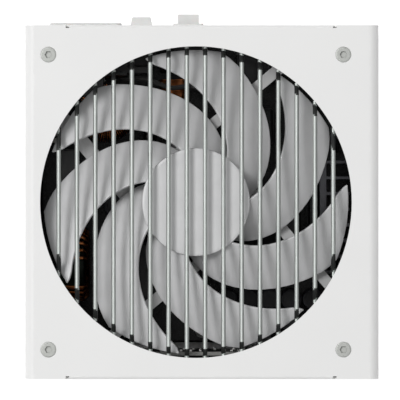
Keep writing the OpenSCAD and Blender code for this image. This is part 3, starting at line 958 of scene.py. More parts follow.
@dataclass(frozen=True)
class TubeGlass(Finish):
    """Thin clear glass with a few faint streaks."""

    def paint(self, graph: Graph) -> None:
        """Builds the glass's nodes.

        Args:
            graph: the graph to build them into.
        """
        streak = graph.noise(0.002, detail=2, place=graph.stretched((1.0, 0.1, 1.0)))
        graph.wire("Base Color", graph.ramp(streak, (0.3, darker(self.colour, 0.9)), (0.7, self.colour)))
        graph.wire("Roughness", graph.spread(streak, 0.02, 0.08))
        graph.relief(streak, 0.01 * MM, 0.3)
        graph.fix(Transmission_Weight=0.85, IOR=1.46)


@dataclass(frozen=True)
class Jacket(Finish):
    """The jacket of a wire: soft plastic with scuffs."""

    rough: float = 0.45

    def paint(self, graph: Graph) -> None:
        """Builds the jacket's nodes.

        Args:
            graph: the graph to build them into.
        """
        scuff = graph.noise(0.0018, detail=5, rough=0.7)
        graph.wire("Base Color", graph.ramp(scuff, (0.35, darker(self.colour, 0.7)), (0.6, self.colour)))
        graph.wire("Roughness", graph.spread(scuff, self.rough - 0.07, self.rough + 0.12))
        graph.relief(scuff, 0.02 * MM, 0.5)
        graph.fix(Sheen_Weight=0.1)


WHITE_PAINT = PowderCoat("white_paint", (0.80, 0.80, 0.795))
TRAY_PAINT = PowderCoat("tray_paint", (0.76, 0.76, 0.755), 0.5)
BAR_NICKEL = PlatedSteel("bar_nickel", (0.57, 0.60, 0.58), 0.5, (1.0, 0.05, 1.0), depth=0.0004 * MM)
# painted shade: the steep dips of the bars are coloured near black to stand in for the shade they show
BAR_BEND_PAINTED_SHADE = PlatedSteel("bar_bend_painted_shade", (0.035, 0.037, 0.036), 0.4, metal=0.6)
SCREW_NICKEL = PlatedSteel("screw_nickel", (0.47, 0.48, 0.46), 0.5, metal=0.7)
NUT_ZINC = PlatedSteel("nut_zinc", (0.60, 0.61, 0.63), 0.3)
PIN_TIN = PlatedSteel("pin_tin", (0.72, 0.71, 0.69), 0.24, (1.0, 0.08, 1.0))
SPRING_STEEL = PlatedSteel("spring_steel", (0.58, 0.58, 0.6), 0.25)
SHAFT_STEEL = PlatedSteel("shaft_steel", (0.62, 0.62, 0.63), 0.14, (1.0, 1.0, 12.0))
TERMINAL_BRASS = PlatedSteel("terminal_brass", (0.78, 0.60, 0.28), 0.26)
BEARING_BRONZE = PlatedSteel("bearing_bronze", (0.66, 0.47, 0.25), 0.36, (1.0, 1.0, 10.0))
BUS_TIN = PlatedSteel("bus_tin", (0.20, 0.20, 0.205), 0.42, (0.08, 1.0, 1.0))
FAN_GREY = MouldedPlastic("fan_grey", (0.56, 0.56, 0.56), 0.42)
# painted shade: the wall of the fan's bore is coloured near black to stand in for the shade inside it
BORE_PAINTED_SHADE = MouldedPlastic("bore_painted_shade", (0.09, 0.09, 0.092), 0.55)
ROTOR_GREY = MouldedPlastic("rotor_grey", (0.60, 0.60, 0.605), 0.34, 0.0007, 0.006 * MM)
PANEL_WHITE = MouldedPlastic("panel_white", (0.70, 0.70, 0.69), 0.4, bleed=0.05)
ROCKER_WHITE = MouldedPlastic("rocker_white", (0.72, 0.72, 0.71), 0.3, bleed=0.05)
PLUG_WHITE = MouldedPlastic("plug_white", (0.72, 0.71, 0.66), 0.45, bleed=0.05)
SOCKET_BLACK = MouldedPlastic("socket_black", (0.018, 0.018, 0.02), 0.42)
SWITCH_BLACK = MouldedPlastic("switch_black", (0.02, 0.02, 0.021), 0.45, gloss=0.2)
PACKAGE_BLACK = MouldedPlastic("package_black", (0.012, 0.012, 0.013), 0.55, 0.0003, 0.015 * MM, gloss=0.2)
RELAY_BLACK = MouldedPlastic("relay_black", (0.014, 0.015, 0.017), 0.35, gloss=0.2)
FILM_GREY = MouldedPlastic("film_grey", (0.014, 0.014, 0.015), 0.45, gloss=0.2)
DISC_DARK = MouldedPlastic("disc_dark", (0.010, 0.010, 0.012), 0.4, 0.0012, 0.03 * MM, gloss=0.2)
BARRIER_FILM = MouldedPlastic("barrier_film", (0.006, 0.006, 0.007), 0.5, 0.002, 0.03 * MM, gloss=0.15)
COPPER_WIRE = EnamelledCopper("copper_wire", (0.60, 0.20, 0.125))
BLACK_BOARD = BoardLacquer("black_board", (0.004, 0.005, 0.005))
STANDING_BOARD = BoardLacquer("standing_board", (0.004, 0.005, 0.005), True)
CAN_SLEEVE = ShrinkSleeve("can_sleeve", (0.009, 0.009, 0.011))
CAN_TOP = Extrusion("can_top", (0.028, 0.028, 0.030), (1.0, 1.0, 1.0), 0.4)
HEATSINK_DARK = Extrusion("heatsink_dark", (0.026, 0.027, 0.029), metal=0.4)
MOTOR_STEEL = Laminated("motor_steel", (0.34, 0.34, 0.36))
YOKE_STEEL = PlatedSteel("yoke_steel", (0.42, 0.42, 0.44), 0.38, (1.0, 1.0, 8.0))
MAGNET_GREY = Ferrite("magnet_grey", (0.035, 0.034, 0.034), 1.5)
CORE_GREY = Ferrite("core_grey", (0.022, 0.022, 0.024))
CORE_GREEN = Ferrite("core_green", (0.018, 0.026, 0.017), 1.5, 0.5)
BLACK_TAPE = WoundTape("black_tape", (0.013, 0.013, 0.014))
FUSE_GLASS = TubeGlass("fuse_glass", (0.93, 0.96, 0.95))
LEAD_BROWN = Jacket("lead_brown", (0.03, 0.028, 0.027))
LEAD_GREEN = Jacket("lead_green", (0.09, 0.28, 0.05))
LEAD_FAN = Jacket("lead_fan", (0.025, 0.025, 0.027))


# ------------------------------------------------------------------ sub-assemblies


def middle(node: str) -> Vector:
    """The middle of a CAD node's box.

    Args:
        node: the CAD node's name.

    Returns:
        The middle.
    """
    low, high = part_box(node)
    return (low + high) / 2


def second_finish(obj: Object, finish: Finish, wanted: Callable[[Vector, Vector], bool]) -> Object:
    """Gives some of a piece's faces another finish.

    Args:
        obj: the piece, which has its first finish.
        finish: the finish to add.
        wanted: takes a face's centre and normal, and says whether it gets the finish.

    Returns:
        The piece.
    """
    obj.data.materials.append(finish.material())
    last = len(obj.data.materials) - 1
    for face in obj.data.polygons:
        if wanted(face.center, face.normal):
            face.material_index = last
    return obj


def coil_line(
    half_a: float, half_b: float, corner: float, length: float, turns: int, steps: int = 3
) -> list[Vector]:
    """The line of a wire that is wound round a rectangular or round former standing along Z.

    Args:
        half_a: half the loop's width along X.
        half_b: half the loop's width along Y.
        corner: the radius of the loop's corners.
        length: the winding's length along Z.
        turns: how many turns it has.
        steps: how many points a corner has beyond its first.

    Returns:
        The points of the line, centred on the origin.
    """
    loop = []
    for quarter, (sx, sy) in enumerate(((1, 1), (-1, 1), (-1, -1), (1, -1))):
        for step in range(steps + 1):
            angle = (quarter + step / steps) * TURN / 4
            loop.append(
                (
                    sx * (half_a - corner) + corner * math.cos(angle),
                    sy * (half_b - corner) + corner * math.sin(angle),
                )
            )
    count = turns * len(loop)
    return [
        Vector((*loop[i % len(loop)], length * (i / count - 0.5))) for i in range(count + 1)
    ]


@dataclass(frozen=True)
class RingWinding:
    """A wire that is wound round a ring core lying in XY.

    Attributes:
        wire: the wire's radius.
        radii: the inner and the outer radius of the wire's path.
        heights: the lower and the upper height of the wire's path.
        sweep: the angle that the winding covers, in degrees.
        turns: how many turns it has.
    """

    wire: float
    radii: tuple[float, float]
    heights: tuple[float, float]
    sweep: float
    turns: int

    def model(self, start: float) -> Object:
        """Builds the winding.

        Args:
            start: the angle where it starts, in degrees.

        Returns:
            The wire, round the origin.
        """
        (near, far), (low, high) = self.radii, self.heights
        soft = 0.22 * min(far - near, high - low)
        section = [
            (near + soft, low), (far - soft, low), (far, low + soft), (far, high - soft),
            (far - soft, high), (near + soft, high), (near, high - soft), (near, low + soft),
        ]
        share = (0.0, 0.28, 0.36, 0.5, 0.58, 0.82, 0.88, 0.97)
        points = []
        for turn in range(self.turns):
            for (radius, height), along in zip(section, share):
                angle = math.radians(start + self.sweep * (turn + along) / self.turns)
                points.append(Vector((radius * math.cos(angle), radius * math.sin(angle), height)))
        return tube("winding", points, self.wire)


def placed(obj: Object, move: Matrix) -> Object:
    """Moves a piece's mesh.

    Args:
        obj: the piece.
        move: the move.

    Returns:
        The same piece.
    """
    obj.data.transform(move)
    obj.data.update()
    return obj


@dataclass
class Assembly:
    """A group of pieces that are built and dressed together."""

    made: list[Object] = field(default_factory=list, init=False)

    def build(self) -> None:
        """Builds and dresses every piece."""
        raise NotImplementedError

    def mount(self, obj: Object, finish: Finish, *nodes: str, body: Body = Body.HOUSING) -> Object:
        """Dresses a piece and puts it on its body in place of its CAD nodes.

        Args:
            obj: the piece.
            finish: its finish, unless it has one already.
            nodes: the CAD nodes that it stands for, which are hidden.
            body: the body that it rides on.

        Returns:
            The piece.
        """
        if not obj.data.materials:
            obj.data.materials.append(finish.material())
        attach(obj, body.value)
        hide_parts(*nodes)
        self.made.append(obj)
        LOG.info("%s: %s faces in %s", obj.name, len(obj.data.polygons), finish.name)
        return obj

    def refine(
        self,
        node: str,
        finish: Finish,
        width: float = 0.2 * MM,
        rows: int = 2,
        body: Body = Body.HOUSING,
        angle: float = 38.0,
    ) -> Object:
        """Makes a piece with rounded edges from a CAD node.

        Args:
            node: the CAD node, which the piece stands for.
            finish: the piece's finish.
            width: how far the rounding reaches from an edge.
            rows: how many rows of faces a rounding has.
            body: the body that the piece rides on.
            angle: the least angle of an edge that is rounded, in degrees.

        Returns:
            The piece.
        """
        obj = ease(traced(node, node + "_piece"), width, rows, angle)
        return self.mount(obj, finish, node, body=body)

    def keep(self, node: str, finish: Finish) -> Object:
        """Dresses a CAD node whose shape is right as it is.

        Args:
            node: the CAD node.
            finish: the finish for all of its material slots.

        Returns:
            The node's object.
        """
        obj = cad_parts[node]
        for place in obj.material_slots:
            place.material = finish.material()
        self.made.append(obj)
        LOG.info("%s: kept, in %s", node, finish.name)
        return obj

    def soften(self, node: str, finish: Finish, body: Body = Body.HOUSING) -> Object:
        """Makes a smooth round wire from a CAD wire with few sides.

        Args:
            node: the CAD node, which the piece stands for.
            finish: the piece's finish.
            body: the body that the piece rides on.

        Returns:
            The piece.
        """
        obj = traced(node, node + "_piece")
        divide = obj.modifiers.new("divide", "SUBSURF")
        divide.levels = divide.render_levels = 1
        apply_modifiers(obj)
        return self.mount(ease(obj, 0), finish, node, body=body)


@dataclass
class Housing(Assembly):
    """The folded steel housing, its screws and nuts, and the film under the board."""

    sheet_edge: float = 0.12 * MM

    def build(self) -> None:
        """Builds the cover, the tray and what holds them together."""
        self.refine("top_cover", WHITE_PAINT, self.sheet_edge, angle=30)
        self.keep("lower_tray", TRAY_PAINT)
        self.refine("cover_screws", SCREW_NICKEL, 0.12 * MM)
        self.refine("rear_nuts", NUT_ZINC, 0.2 * MM)
        self.refine("insulation_sheet", BARRIER_FILM, 0.08 * MM)


@dataclass
class Grille(Assembly):
    """The bar grille: straight round bars that dip at the rim, and the ring that holds them."""

    count: int = 16
    pitch: float = 7.76 * MM
    radius: float = 0.95 * MM
    drop: float = 3 * MM
    span_end: float = 62.2 * MM
    tip_start: float = 65.3 * MM
    reach: float = 66.2 * MM
    dip_steps: int = 9
    ring_width: float = 2 * MM
    ring_soft: float = 0.3 * MM

    def bar_line(self, across: float, top: float) -> list[Point]:
        """The centre line of one bar.

        Args:
            across: the bar's distance from the fan's axis.
            top: the height of its straight span.

        Returns:
            The points of the line, from -Y to +Y.
        """
        start, end, reach = (
            math.sqrt(r * r - across * across) for r in (self.span_end, self.tip_start, self.reach)
        )
        half = [(across, 0.0, top)]
        for step in range(self.dip_steps + 1):
            share = step / self.dip_steps
            fall = share * share * (3 - 2 * share)
            half.append((across, start + (end - start) * share, top - self.drop * fall))
        half.append((across, reach, top - self.drop))
        return [(x, -y, z) for x, y, z in reversed(half[1:])] + half

    def in_bend(self, at: Vector) -> bool:
        """Whether a point lies where the bars step down.

        Args:
            at: the point, from the fan's axis.

        Returns:
            True in the bends.
        """
        return self.span_end < at.xy.length < self.tip_start

    def build(self) -> None:
        """Builds the bars and their ring."""
        centre, (low, high) = middle("grille_ring"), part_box("grille_ring")
        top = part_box("grille_bars")[1].z - self.radius
        bars = [
            tube(
                "bar",
                [
                    (centre.x + x, centre.y + y, z)
                    for x, y, z in self.bar_line((i - (self.count - 1) / 2) * self.pitch, top)
                ],
                self.radius,
                sides=16,
            )
            for i in range(self.count)
        ]
        piece = ease(join("grille_bars_piece", bars), 0)
        piece.data.materials.append(BAR_NICKEL.material())
        # painted shade: the faces where the bars step down get the near-black bend colour
        second_finish(piece, BAR_BEND_PAINTED_SHADE, lambda at, way: self.in_bend(at - centre))
        self.mount(piece, BAR_NICKEL, "grille_bars")
        outer = (high.x - low.x) / 2
        inner, soft = outer - self.ring_width, self.ring_soft
        ring = hollow_turned(
            "grille_ring_piece",
            [
                (inner + soft, low.z), (outer - soft, low.z), (outer, low.z + soft),
                (outer, high.z - soft), (outer - soft, high.z), (inner + soft, high.z),
                (inner, high.z - soft), (inner, low.z + soft),
            ],
            (centre.x, centre.y, 0),
            sides=128,
        )
        self.mount(ease(ring, 0), BAR_NICKEL, "grille_ring")


@dataclass(frozen=True)
class BladeEdge:
    """How one edge of a blade sweeps round the fan's axis.

    Attributes:
        angle: its angle at the starting radius, in degrees.
        sweep: how many degrees it turns for each metre of radius.
        start: the starting radius.
        rounding: how many degrees the corner at the tip is cut back.
        bow: how many degrees it bows between root and tip.
        corner: where the rounding of the tip starts, as a share of the blade's length.
    """

    angle: float
    sweep: float
    start: float
    rounding: float
    bow: float = 0.0
    corner: float = 0.93

    def at(self, radius: float, out: float, nearness: float) -> float:
        """The edge's angle.

        Args:
            radius: the radius.
            out: the same place as a share of the blade's length.
            nearness: 1 on this edge and 0 on the other one.

        Returns:
            The angle in degrees.
        """
        rounded = self.rounding * max(0.0, out - self.corner) / (1 - self.corner) * nearness**6
        bowed = self.bow * math.sin(TURN / 2 * out**1.5)
        return self.angle + self.sweep * (radius - self.start) + bowed + rounded


@dataclass
class Fan(Assembly):
    """The fan: frame, motor, rotor, lead and the four screws that hold it."""

    blades: int = 7
    hub_radius: float = 23 * MM
    bore_radius: float = 64 * MM
    hub_wall: float = 1.5 * MM
    hub_top: float = 1.6 * MM
    hub_soft: float = 0.8 * MM
    boss_radius: float = 4 * MM
    boss_foot: float = 4.2 * MM
    lead_edge: BladeEdge = BladeEdge(4.2, 1360, 23.3 * MM, -2.6)
    trail_edge: BladeEdge = BladeEdge(-43.3, 1730, 24 * MM, 2.2, 2.6)
    blade_foot: float = 1.8 * MM
    blade_climb: float = 3 * MM
    blade_top_gap: float = 1.1 * MM
    blade_belly: float = 0.18
    blade_round: float = 0.42 * MM
    blade_thickness: float = 1.35 * MM
    screw_head: float = 3.35 * MM
    screw_shank: float = 1.95 * MM
    screw_key: float = 1.55 * MM
    coil_wire: float = 0.36 * MM
    coil_length: float = 7.2 * MM
    coil_size: tuple[float, float] = (10.4 * MM, 9.2 * MM)
    coil_foot: float = 8.3 * MM
    coil_turns: int = 10
    tooth: tuple[float, float] = (6.7 * MM, 5.2 * MM)
    rows_out: int = 22
    rows_across: int = 14

    def blade_place(self, out: float, across: float, low: float, top: float, tip: float) -> Vector:
        """A point of the first blade's middle surface, with the fan's axis at the origin.

        Args:
            out: 0 at the root and 1 at the tip.
            across: 0 at the trailing edge and 1 at the leading edge.
            low: the height of the rotor's underside.
            top: the height of the blades' highest point.
            tip: the radius of the tip.

        Returns:
            The point.
        """
        root = self.hub_radius - 1 * MM
        radius = root + (tip - root) * out
        lead = self.lead_edge.at(radius, out, across)
        trail = self.trail_edge.at(radius, out, 1 - across)
        angle = math.radians(trail + (lead - trail) * across)
        foot = low + self.blade_foot + self.blade_climb * out
        rise = (1 - self.blade_belly) * across + self.blade_belly * math.sin(across * TURN / 4)
        height = foot + (top - foot - self.blade_top_gap) * rise
        return Vector((radius * math.cos(angle), radius * math.sin(angle), height))

    def blade(self, low: float, top: float, tip: float) -> Object:
        """One swept blade with rounded edges, round the origin.

        Args:
            low: the height of the rotor's underside.
            top: the height of the blades' highest point.
            tip: the radius of the tip.

        Returns:
            The blade.
        """
        deselect()
        bpy.ops.mesh.primitive_grid_add(
            x_subdivisions=self.rows_out, y_subdivisions=self.rows_across, size=1
        )
        obj = bpy.context.object
        for vertex in obj.data.vertices:
            vertex.co = self.blade_place(vertex.co.x + 0.5, vertex.co.y + 0.5, low, top, tip)
        with editing(obj):
            bpy.ops.mesh.normals_make_consistent(inside=False)
        wall = obj.modifiers.new("wall", "SOLIDIFY")
        wall.thickness = self.blade_thickness
        wall.offset = 0
        wall.use_even_offset = True
        edge = obj.modifiers.new("edge", "BEVEL")
        edge.width = self.blade_round
        edge.segments = 3
        edge.limit_method = "ANGLE"
        edge.angle_limit = math.radians(60)
        return apply_modifiers(obj)

    def rotor(self) -> None:
        """Builds the hub and its blades."""
        centre, (low, high) = middle("fan_rotor"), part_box("fan_rotor")
        tip = (high.x - low.x) / 2 - 0.05 * MM
        blade = self.blade(low.z, high.z - 0.8 * MM, tip)
        moves = [Matrix.Rotation(i * TURN / self.blades, 4, "Z") for i in range(self.blades)]
        ring = ease(repeat("blades", blade, moves), 0)
        r, inside, soft = self.hub_radius, self.hub_radius - self.hub_wall, self.hub_soft
        ceiling, lip = high.z - self.hub_top, 0.2 * MM
        hub = turned(
            "hub",
            [
                (self.boss_radius, high.z - self.boss_foot), (self.boss_radius, ceiling),
                (inside, ceiling), (inside, low.z + lip), (inside + lip, low.z), (r - lip, low.z),
                (r, low.z + lip), (r, high.z - soft), (r - 0.25 * soft, high.z - 0.35 * soft),
                (r - soft, high.z - 0.05 * soft), (r - 2 * soft, high.z), (MM, high.z),
            ],
            (0, 0, 0),
            sides=112,
        )
        rotor = join("fan_rotor_piece", [ease(hub, 0), ring])
        placed(rotor, shift(centre.x, 0, 0))
        self.mount(rotor, ROTOR_GREY, "fan_rotor", body=Body.ROTOR)

    def in_bore(self, at: Vector, way: Vector) -> bool:
        """Whether a face of the frame looks inwards from the wall of its bore.

        Args:
            at: the face's middle, from the fan's axis.
            way: its normal.

        Returns:
            True on the wall of the bore.
        """
        radius = at.xy.length
        return radius > self.bore_radius and at.xy.dot(way.xy) < -0.3 * radius

    def screws(self) -> None:
        """Builds the four countersunk screws with hexagon sockets."""
        low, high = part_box("fan_screws")
        head, shank, key, top = self.screw_head, self.screw_shank, self.screw_key, high.z
        first = (low.x + head, low.y + head, 0)
        screw = turned(
            "screw",
            [
                (shank - 0.25 * MM, low.z), (shank, low.z + 0.3 * MM), (shank, top - 1.5 * MM),
                (head - 0.12 * MM, top - 0.2 * MM), (head, top - 0.1 * MM),
                (head - 0.15 * MM, top - 0.01 * MM), (head - 0.75 * MM, top), (0.5 * MM, top),
            ],
            first,
            sides=40,
        )
        socket = turned(
            "socket",
            [(key, top - 1.2 * MM), (key, top - 0.12 * MM), (key + 0.35 * MM, top + 0.4 * MM)],
            first,
            sides=6,
        )
        carve(screw, placed(socket, about(first, TURN / 12)))
        dx, dy = high.x - low.x - 2 * head, high.y - low.y - 2 * head
        screws = repeat("fan_screws_piece", screw, [shift(x, y, 0) for x in (0, dx) for y in (0, dy)])
        self.mount(ease(screws, 0), SCREW_NICKEL, "fan_screws")

    def coils(self) -> None:
        """Builds the four wire-wound coils of the motor."""
        middle_point, (low, high) = middle("stator_core"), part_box("stator_coils")
        wire, length = self.coil_wire, self.coil_length
        half_a, half_b = (size / 2 - wire for size in self.coil_size)
        line = coil_line(half_a, half_b, 2.5 * wire, length - 2 * wire, self.coil_turns)
        winding = tube("winding", line, wire, sides=6)
        former = ease(box("former", (2 * half_a, 2 * half_b, length), (0, 0, 0)), 0.8 * MM)
        carve(former, box("tooth", (*self.tooth, 2 * length), (0, 0, 0)))
        coil = placed(join("coil", [winding, former]), Matrix.Rotation(TURN / 4, 4, "Y"))
        placed(coil, shift(self.coil_foot + length / 2, 0, 0))
        quarters = [Matrix.Rotation(i * TURN / 4, 4, "Z") for i in range(4)]
        coils = repeat("stator_coils_piece", coil, quarters)
        placed(coils, shift(middle_point.x, middle_point.y, (low.z + high.z) / 2))
        self.mount(ease(coils, 0), COPPER_WIRE, "stator_coils")

    def build(self) -> None:
        """Builds every piece of the fan."""
        centre = middle("fan_frame")
        frame = self.refine("fan_frame", FAN_GREY, 0.3 * MM)
        # painted shade: faces on the wall of the bore get the near-black bore colour
        second_finish(frame, BORE_PAINTED_SHADE, lambda at, way: self.in_bore(at - centre, way))
        self.rotor()
        self.screws()
        self.coils()
        self.refine("fan_bearing", BEARING_BRONZE, 0.25 * MM)
        self.refine("stator_core", MOTOR_STEEL, 0.15 * MM)
        self.refine("fan_circuit", BLACK_BOARD, 0.12 * MM)
        self.refine("fan_shaft", SHAFT_STEEL, 0.25 * MM, body=Body.ROTOR)
        self.refine("fan_yoke", YOKE_STEEL, 0.2 * MM, body=Body.ROTOR)
        self.refine("fan_magnet", MAGNET_GREY, 0.25 * MM, body=Body.ROTOR)
        self.refine("fan_plug", PLUG_WHITE, 0.25 * MM)
        self.soften("fan_lead", LEAD_FAN)


@dataclass
class MainsPanel(Assembly):
    """The mains inlet, the rocker switch, the fan mode button and their wires."""

    spring_length: float = 3.6 * MM
    travel: float = 2 * MM

    def build(self) -> None:
        """Builds every piece of the mains side."""
        self.refine("inlet_housing", PANEL_WHITE, 0.4 * MM, 3)
        self.refine("inlet_pins", PIN_TIN, 0.5 * MM, 3)
        switch = self.refine("switch_housing", PANEL_WHITE, 0.3 * MM, 3)
        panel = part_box("top_cover")[1].y - MM
        second_finish(switch, SWITCH_BLACK, lambda at, way: at.y < panel)
        self.refine("switch_terminals", TERMINAL_BRASS, 0.15 * MM)
        self.refine("switch_rocker", ROCKER_WHITE, 0.5 * MM, 3, Body.ROCKER)
        self.refine("mode_switch", SWITCH_BLACK, 0.3 * MM)
        self.refine("mode_button", ROCKER_WHITE, 0.4 * MM, 3, Body.BUTTON)
        self.soften("mains_leads", LEAD_BROWN)
        self.soften("earth_lead", LEAD_GREEN)
        spring = self.soften("button_spring", SPRING_STEEL)
        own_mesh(spring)


@dataclass
class RoundCan:
    """An electrolytic capacitor: a sleeved can with a crimp, a rim and a scored vent.

    Attributes:
        radius: the can's radius.
        height: its height.
        scores: how many lines the vent has.
    """

    radius: float
    height: float
    scores: int = 2

    def model(self, place: Point) -> Object:
        """Builds the can.

        Args:
            place: the middle of its underside.

        Returns:
            The can, dressed.
        """
        r, h = self.radius, self.height
        rim = 0.06 * r + 0.3 * MM
        can = turned(
            "can",
            [
                (r - rim, 0), (r, rim), (r, 0.09 * h), (r * 0.94, 0.105 * h), (r * 0.94, 0.12 * h),
                (r, 0.135 * h), (r, h - rim), (r - 0.3 * rim, h - 0.3 * rim), (r - rim, h),
                (r - 1.5 * rim, h), (r - 1.7 * rim, h - 0.35 * rim), (0.4 * MM, h - 0.35 * rim),
            ],
            place,
            sides=32 if r < 8 * MM else 64,
        )
        for i in range(self.scores):
            line = box("score", (1.1 * r, 0.05 * r, 0.5 * rim), (0, 0, 0))
            placed(line, Matrix.Rotation(i * TURN / 2 / self.scores + 0.4, 4, "Z"))
            carve(can, placed(line, shift(place[0], place[1], place[2] + h - 0.35 * rim)))
        can.data.materials.append(CAN_SLEEVE.material())
        top = place[2] + h - 0.9 * rim
        return second_finish(can, CAN_TOP, lambda at, way: at.z > top and self.inside(at, place, rim))

    def inside(self, at: Vector, place: Point, rim: float) -> bool:
        """Whether a point lies inside the sleeve's rolled rim.

        Args:
            at: the point.
            place: the middle of the can's underside.
            rim: the width of the rim.

        Returns:
            True where the bare can shows.
        """
        return math.hypot(at.x - place[0], at.y - place[1]) < self.radius - 1.2 * rim


@dataclass(frozen=True)
class Trim:
    """How a CAD node becomes a finished piece with rounded edges.

    Attributes:
        node: the CAD node.
        finish: the piece's finish.
        width: how far the rounding reaches from an edge.
        rows: how many rows of faces a rounding has.
    """

    node: str
    finish: Finish
    width: float
    rows: int = 2


BOARD_PARTS = (
    Trim("main_board", BLACK_BOARD, 0.15 * MM),
    Trim("filter_board", BLACK_BOARD, 0.15 * MM),
    Trim("control_board", BLACK_BOARD, 0.15 * MM),
    Trim("rectifier_board", BLACK_BOARD, 0.15 * MM),
    Trim("standoffs", TERMINAL_BRASS, 0.2 * MM),
    Trim("board_screws", SCREW_NICKEL, 0.25 * MM),
    Trim("film_capacitors", FILM_GREY, 0.7 * MM, 3),
    Trim("disc_capacitors", DISC_DARK, 1.3 * MM, 4),
    Trim("relay", RELAY_BLACK, 0.6 * MM, 3),
    Trim("bridge_rectifier", PACKAGE_BLACK, 0.4 * MM),
    Trim("bridge_heatsink", HEATSINK_DARK, 0.25 * MM),
    Trim("primary_heatsink", HEATSINK_DARK, 0.25 * MM),
    Trim("secondary_heatsink", HEATSINK_DARK, 0.25 * MM),
    Trim("power_transistors", PACKAGE_BLACK, 0.4 * MM),
    Trim("resonant_core", CORE_GREY, 0.5 * MM),
    Trim("transformer_core", CORE_GREY, 0.6 * MM),
    Trim("transformer_winding", BLACK_TAPE, 2.2 * MM, 4),
    Trim("standby_transformer", BLACK_TAPE, 0.6 * MM, 3),
)


@dataclass
class Electronics(Assembly):
    """The main board and everything that stands on it."""

    ring_winding: RingWinding = RingWinding(
        0.28 * MM, (5.31 * MM, 12.44 * MM), (-1.19 * MM, 10.19 * MM), 130, 25
    )
    ring_hole: float = 6.5 * MM
    choke_winding: RingWinding = RingWinding(
        0.8 * MM, (7 * MM, 15.6 * MM), (-1.1 * MM, 12.1 * MM), 322, 25
    )
    choke_hole: float = 8 * MM
    coil_wire: float = 0.27 * MM
    coil_rod: float = 3.9 * MM
    resonant_wire: float = 0.5 * MM
    resonant_turns: int = 13
    resonant_post: tuple[float, float] = (10.6 * MM, 6.6 * MM)
    small_can: float = 4.6 * MM
    fuse_cap: float = 5.5 * MM

    def ring_chokes(self) -> None:
        """Builds the two ring chokes with their real turns."""
        (low, high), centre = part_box("choke_core"), middle("choke_core")
        half = (high.x - low.x) / 2
        place = (centre.x, centre.y, low.z)
        self.core("choke_core", self.ring_hole, half, high.z - low.z, place, Axis.Z)
        halves = [self.ring_winding.model(start) for start in (24, 204)]
        winding = placed(join("choke_winding_piece", halves), shift(*place))
        self.mount(ease(winding, 0), COPPER_WIRE, "choke_winding")

        (low, high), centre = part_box("pfc_core"), middle("pfc_core")
        half = (high.z - low.z) / 2
        self.core("pfc_core", self.choke_hole, half, high.x - low.x, (low.x, centre.y, centre.z), Axis.X)
        winding = join("pfc_winding_piece", [self.choke_winding.model(math.degrees(0.1))])
        place = (high.x, centre.y, centre.z)
        placed(winding, Matrix.Translation(place) @ Matrix.Rotation(-TURN / 4, 4, "Y"))
        self.mount(ease(winding, 0), COPPER_WIRE, "pfc_winding")

    def core(self, node: str, inner: float, outer: float, depth: float, base: Point, axis: Axis) -> None:
        """Builds a ring core with rounded corners.

        Args:
            node: the CAD node that the core stands for.
            inner: its inner radius.
            outer: its outer radius.
            depth: its length along its axis.
            base: the middle of its first face.
            axis: the direction of its axis.
        """
        soft = 1.0 * MM
        outline = [
            (inner + soft, 0), (outer - soft, 0), (outer - 0.3 * soft, 0.3 * soft), (outer, soft),
            (outer, depth - soft), (outer - 0.3 * soft, depth - 0.3 * soft), (outer - soft, depth),
            (inner + soft, depth), (inner + 0.3 * soft, depth - 0.3 * soft), (inner, depth - soft),
            (inner, soft), (inner + 0.3 * soft, 0.3 * soft),
        ]
        ring = hollow_turned(node + "_piece", outline, base, axis, sides=64)
        self.mount(ease(ring, 0), CORE_GREEN, node)

    def coils(self) -> None:
        """Builds the line coil on its rod and the resonant inductor's winding."""
        (low, high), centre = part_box("line_coil"), middle("line_coil")
        length, wire = high.y - low.y, self.coil_wire
        reach = (high.x - low.x) / 2 - wire - 0.05 * MM
        turns = int((length - 2 * wire) / (2.1 * wire))
        line = coil_line(reach, reach, reach, length - 2 * wire, turns, steps=5)
        winding = placed(tube("turns", line, wire, sides=8), Matrix.Rotation(-TURN / 4, 4, "X"))
        placed(winding, Matrix.Translation(centre))
        inner, outer, end = self.coil_rod + 0.05 * MM, reach - 0.4 * wire, length - wire
        layers = hollow_turned(
            "layers",
            [(inner, wire), (outer, wire), (outer, end), (inner, end)],
            (centre.x, low.y, centre.z),
            Axis.Y,
            sides=32,
        )
        winding = join("line_coil_piece", [winding, layers])
        winding.data.materials.append(COPPER_WIRE.material())
        rod_end, soft = self.coil_rod - 0.5 * MM, 0.5 * MM
        rod = turned(
            "rod",
            [(rod_end, 0), (self.coil_rod, soft), (self.coil_rod, length - soft), (rod_end, length)],
            (centre.x, low.y, centre.z),
            Axis.Y,
            sides=32,
        )
        rod.data.materials.append(CORE_GREY.material())
        self.mount(ease(join("line_coil_piece", [winding, rod]), 0), COPPER_WIRE, "line_coil")

        (low, high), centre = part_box("resonant_winding"), middle("resonant_winding")
        wire, size = self.resonant_wire, high - low
        line = coil_line(
            size.x / 2 - wire, size.y / 2 - wire, 4 * wire, size.z - 2 * wire, self.resonant_turns
        )
        winding = placed(tube("turns", line, wire, sides=8), Matrix.Translation(centre))
        former = box("former", (size.x - 2 * wire, size.y - 2 * wire, size.z), centre)
        carve(ease(former, 1.6 * MM), box("post", (*self.resonant_post, 2 * size.z), centre))
        piece = ease(join("resonant_winding_piece", [winding, former]), 0)
        self.mount(piece, BLACK_TAPE, "resonant_winding")

    def cans(self) -> None:
        """Builds the bulk capacitors and the output capacitors."""
        low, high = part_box("bulk_capacitors")
        radius = (high.x - low.x) / 2
        large = RoundCan(radius, high.z - low.z, 3)
        ends = (low.y + radius, high.y - radius)
        bulk = [large.model((middle("bulk_capacitors").x, y, low.z)) for y in ends]
        self.mount(ease(join("bulk_capacitors_piece", bulk), 0), CAN_SLEEVE, "bulk_capacitors")

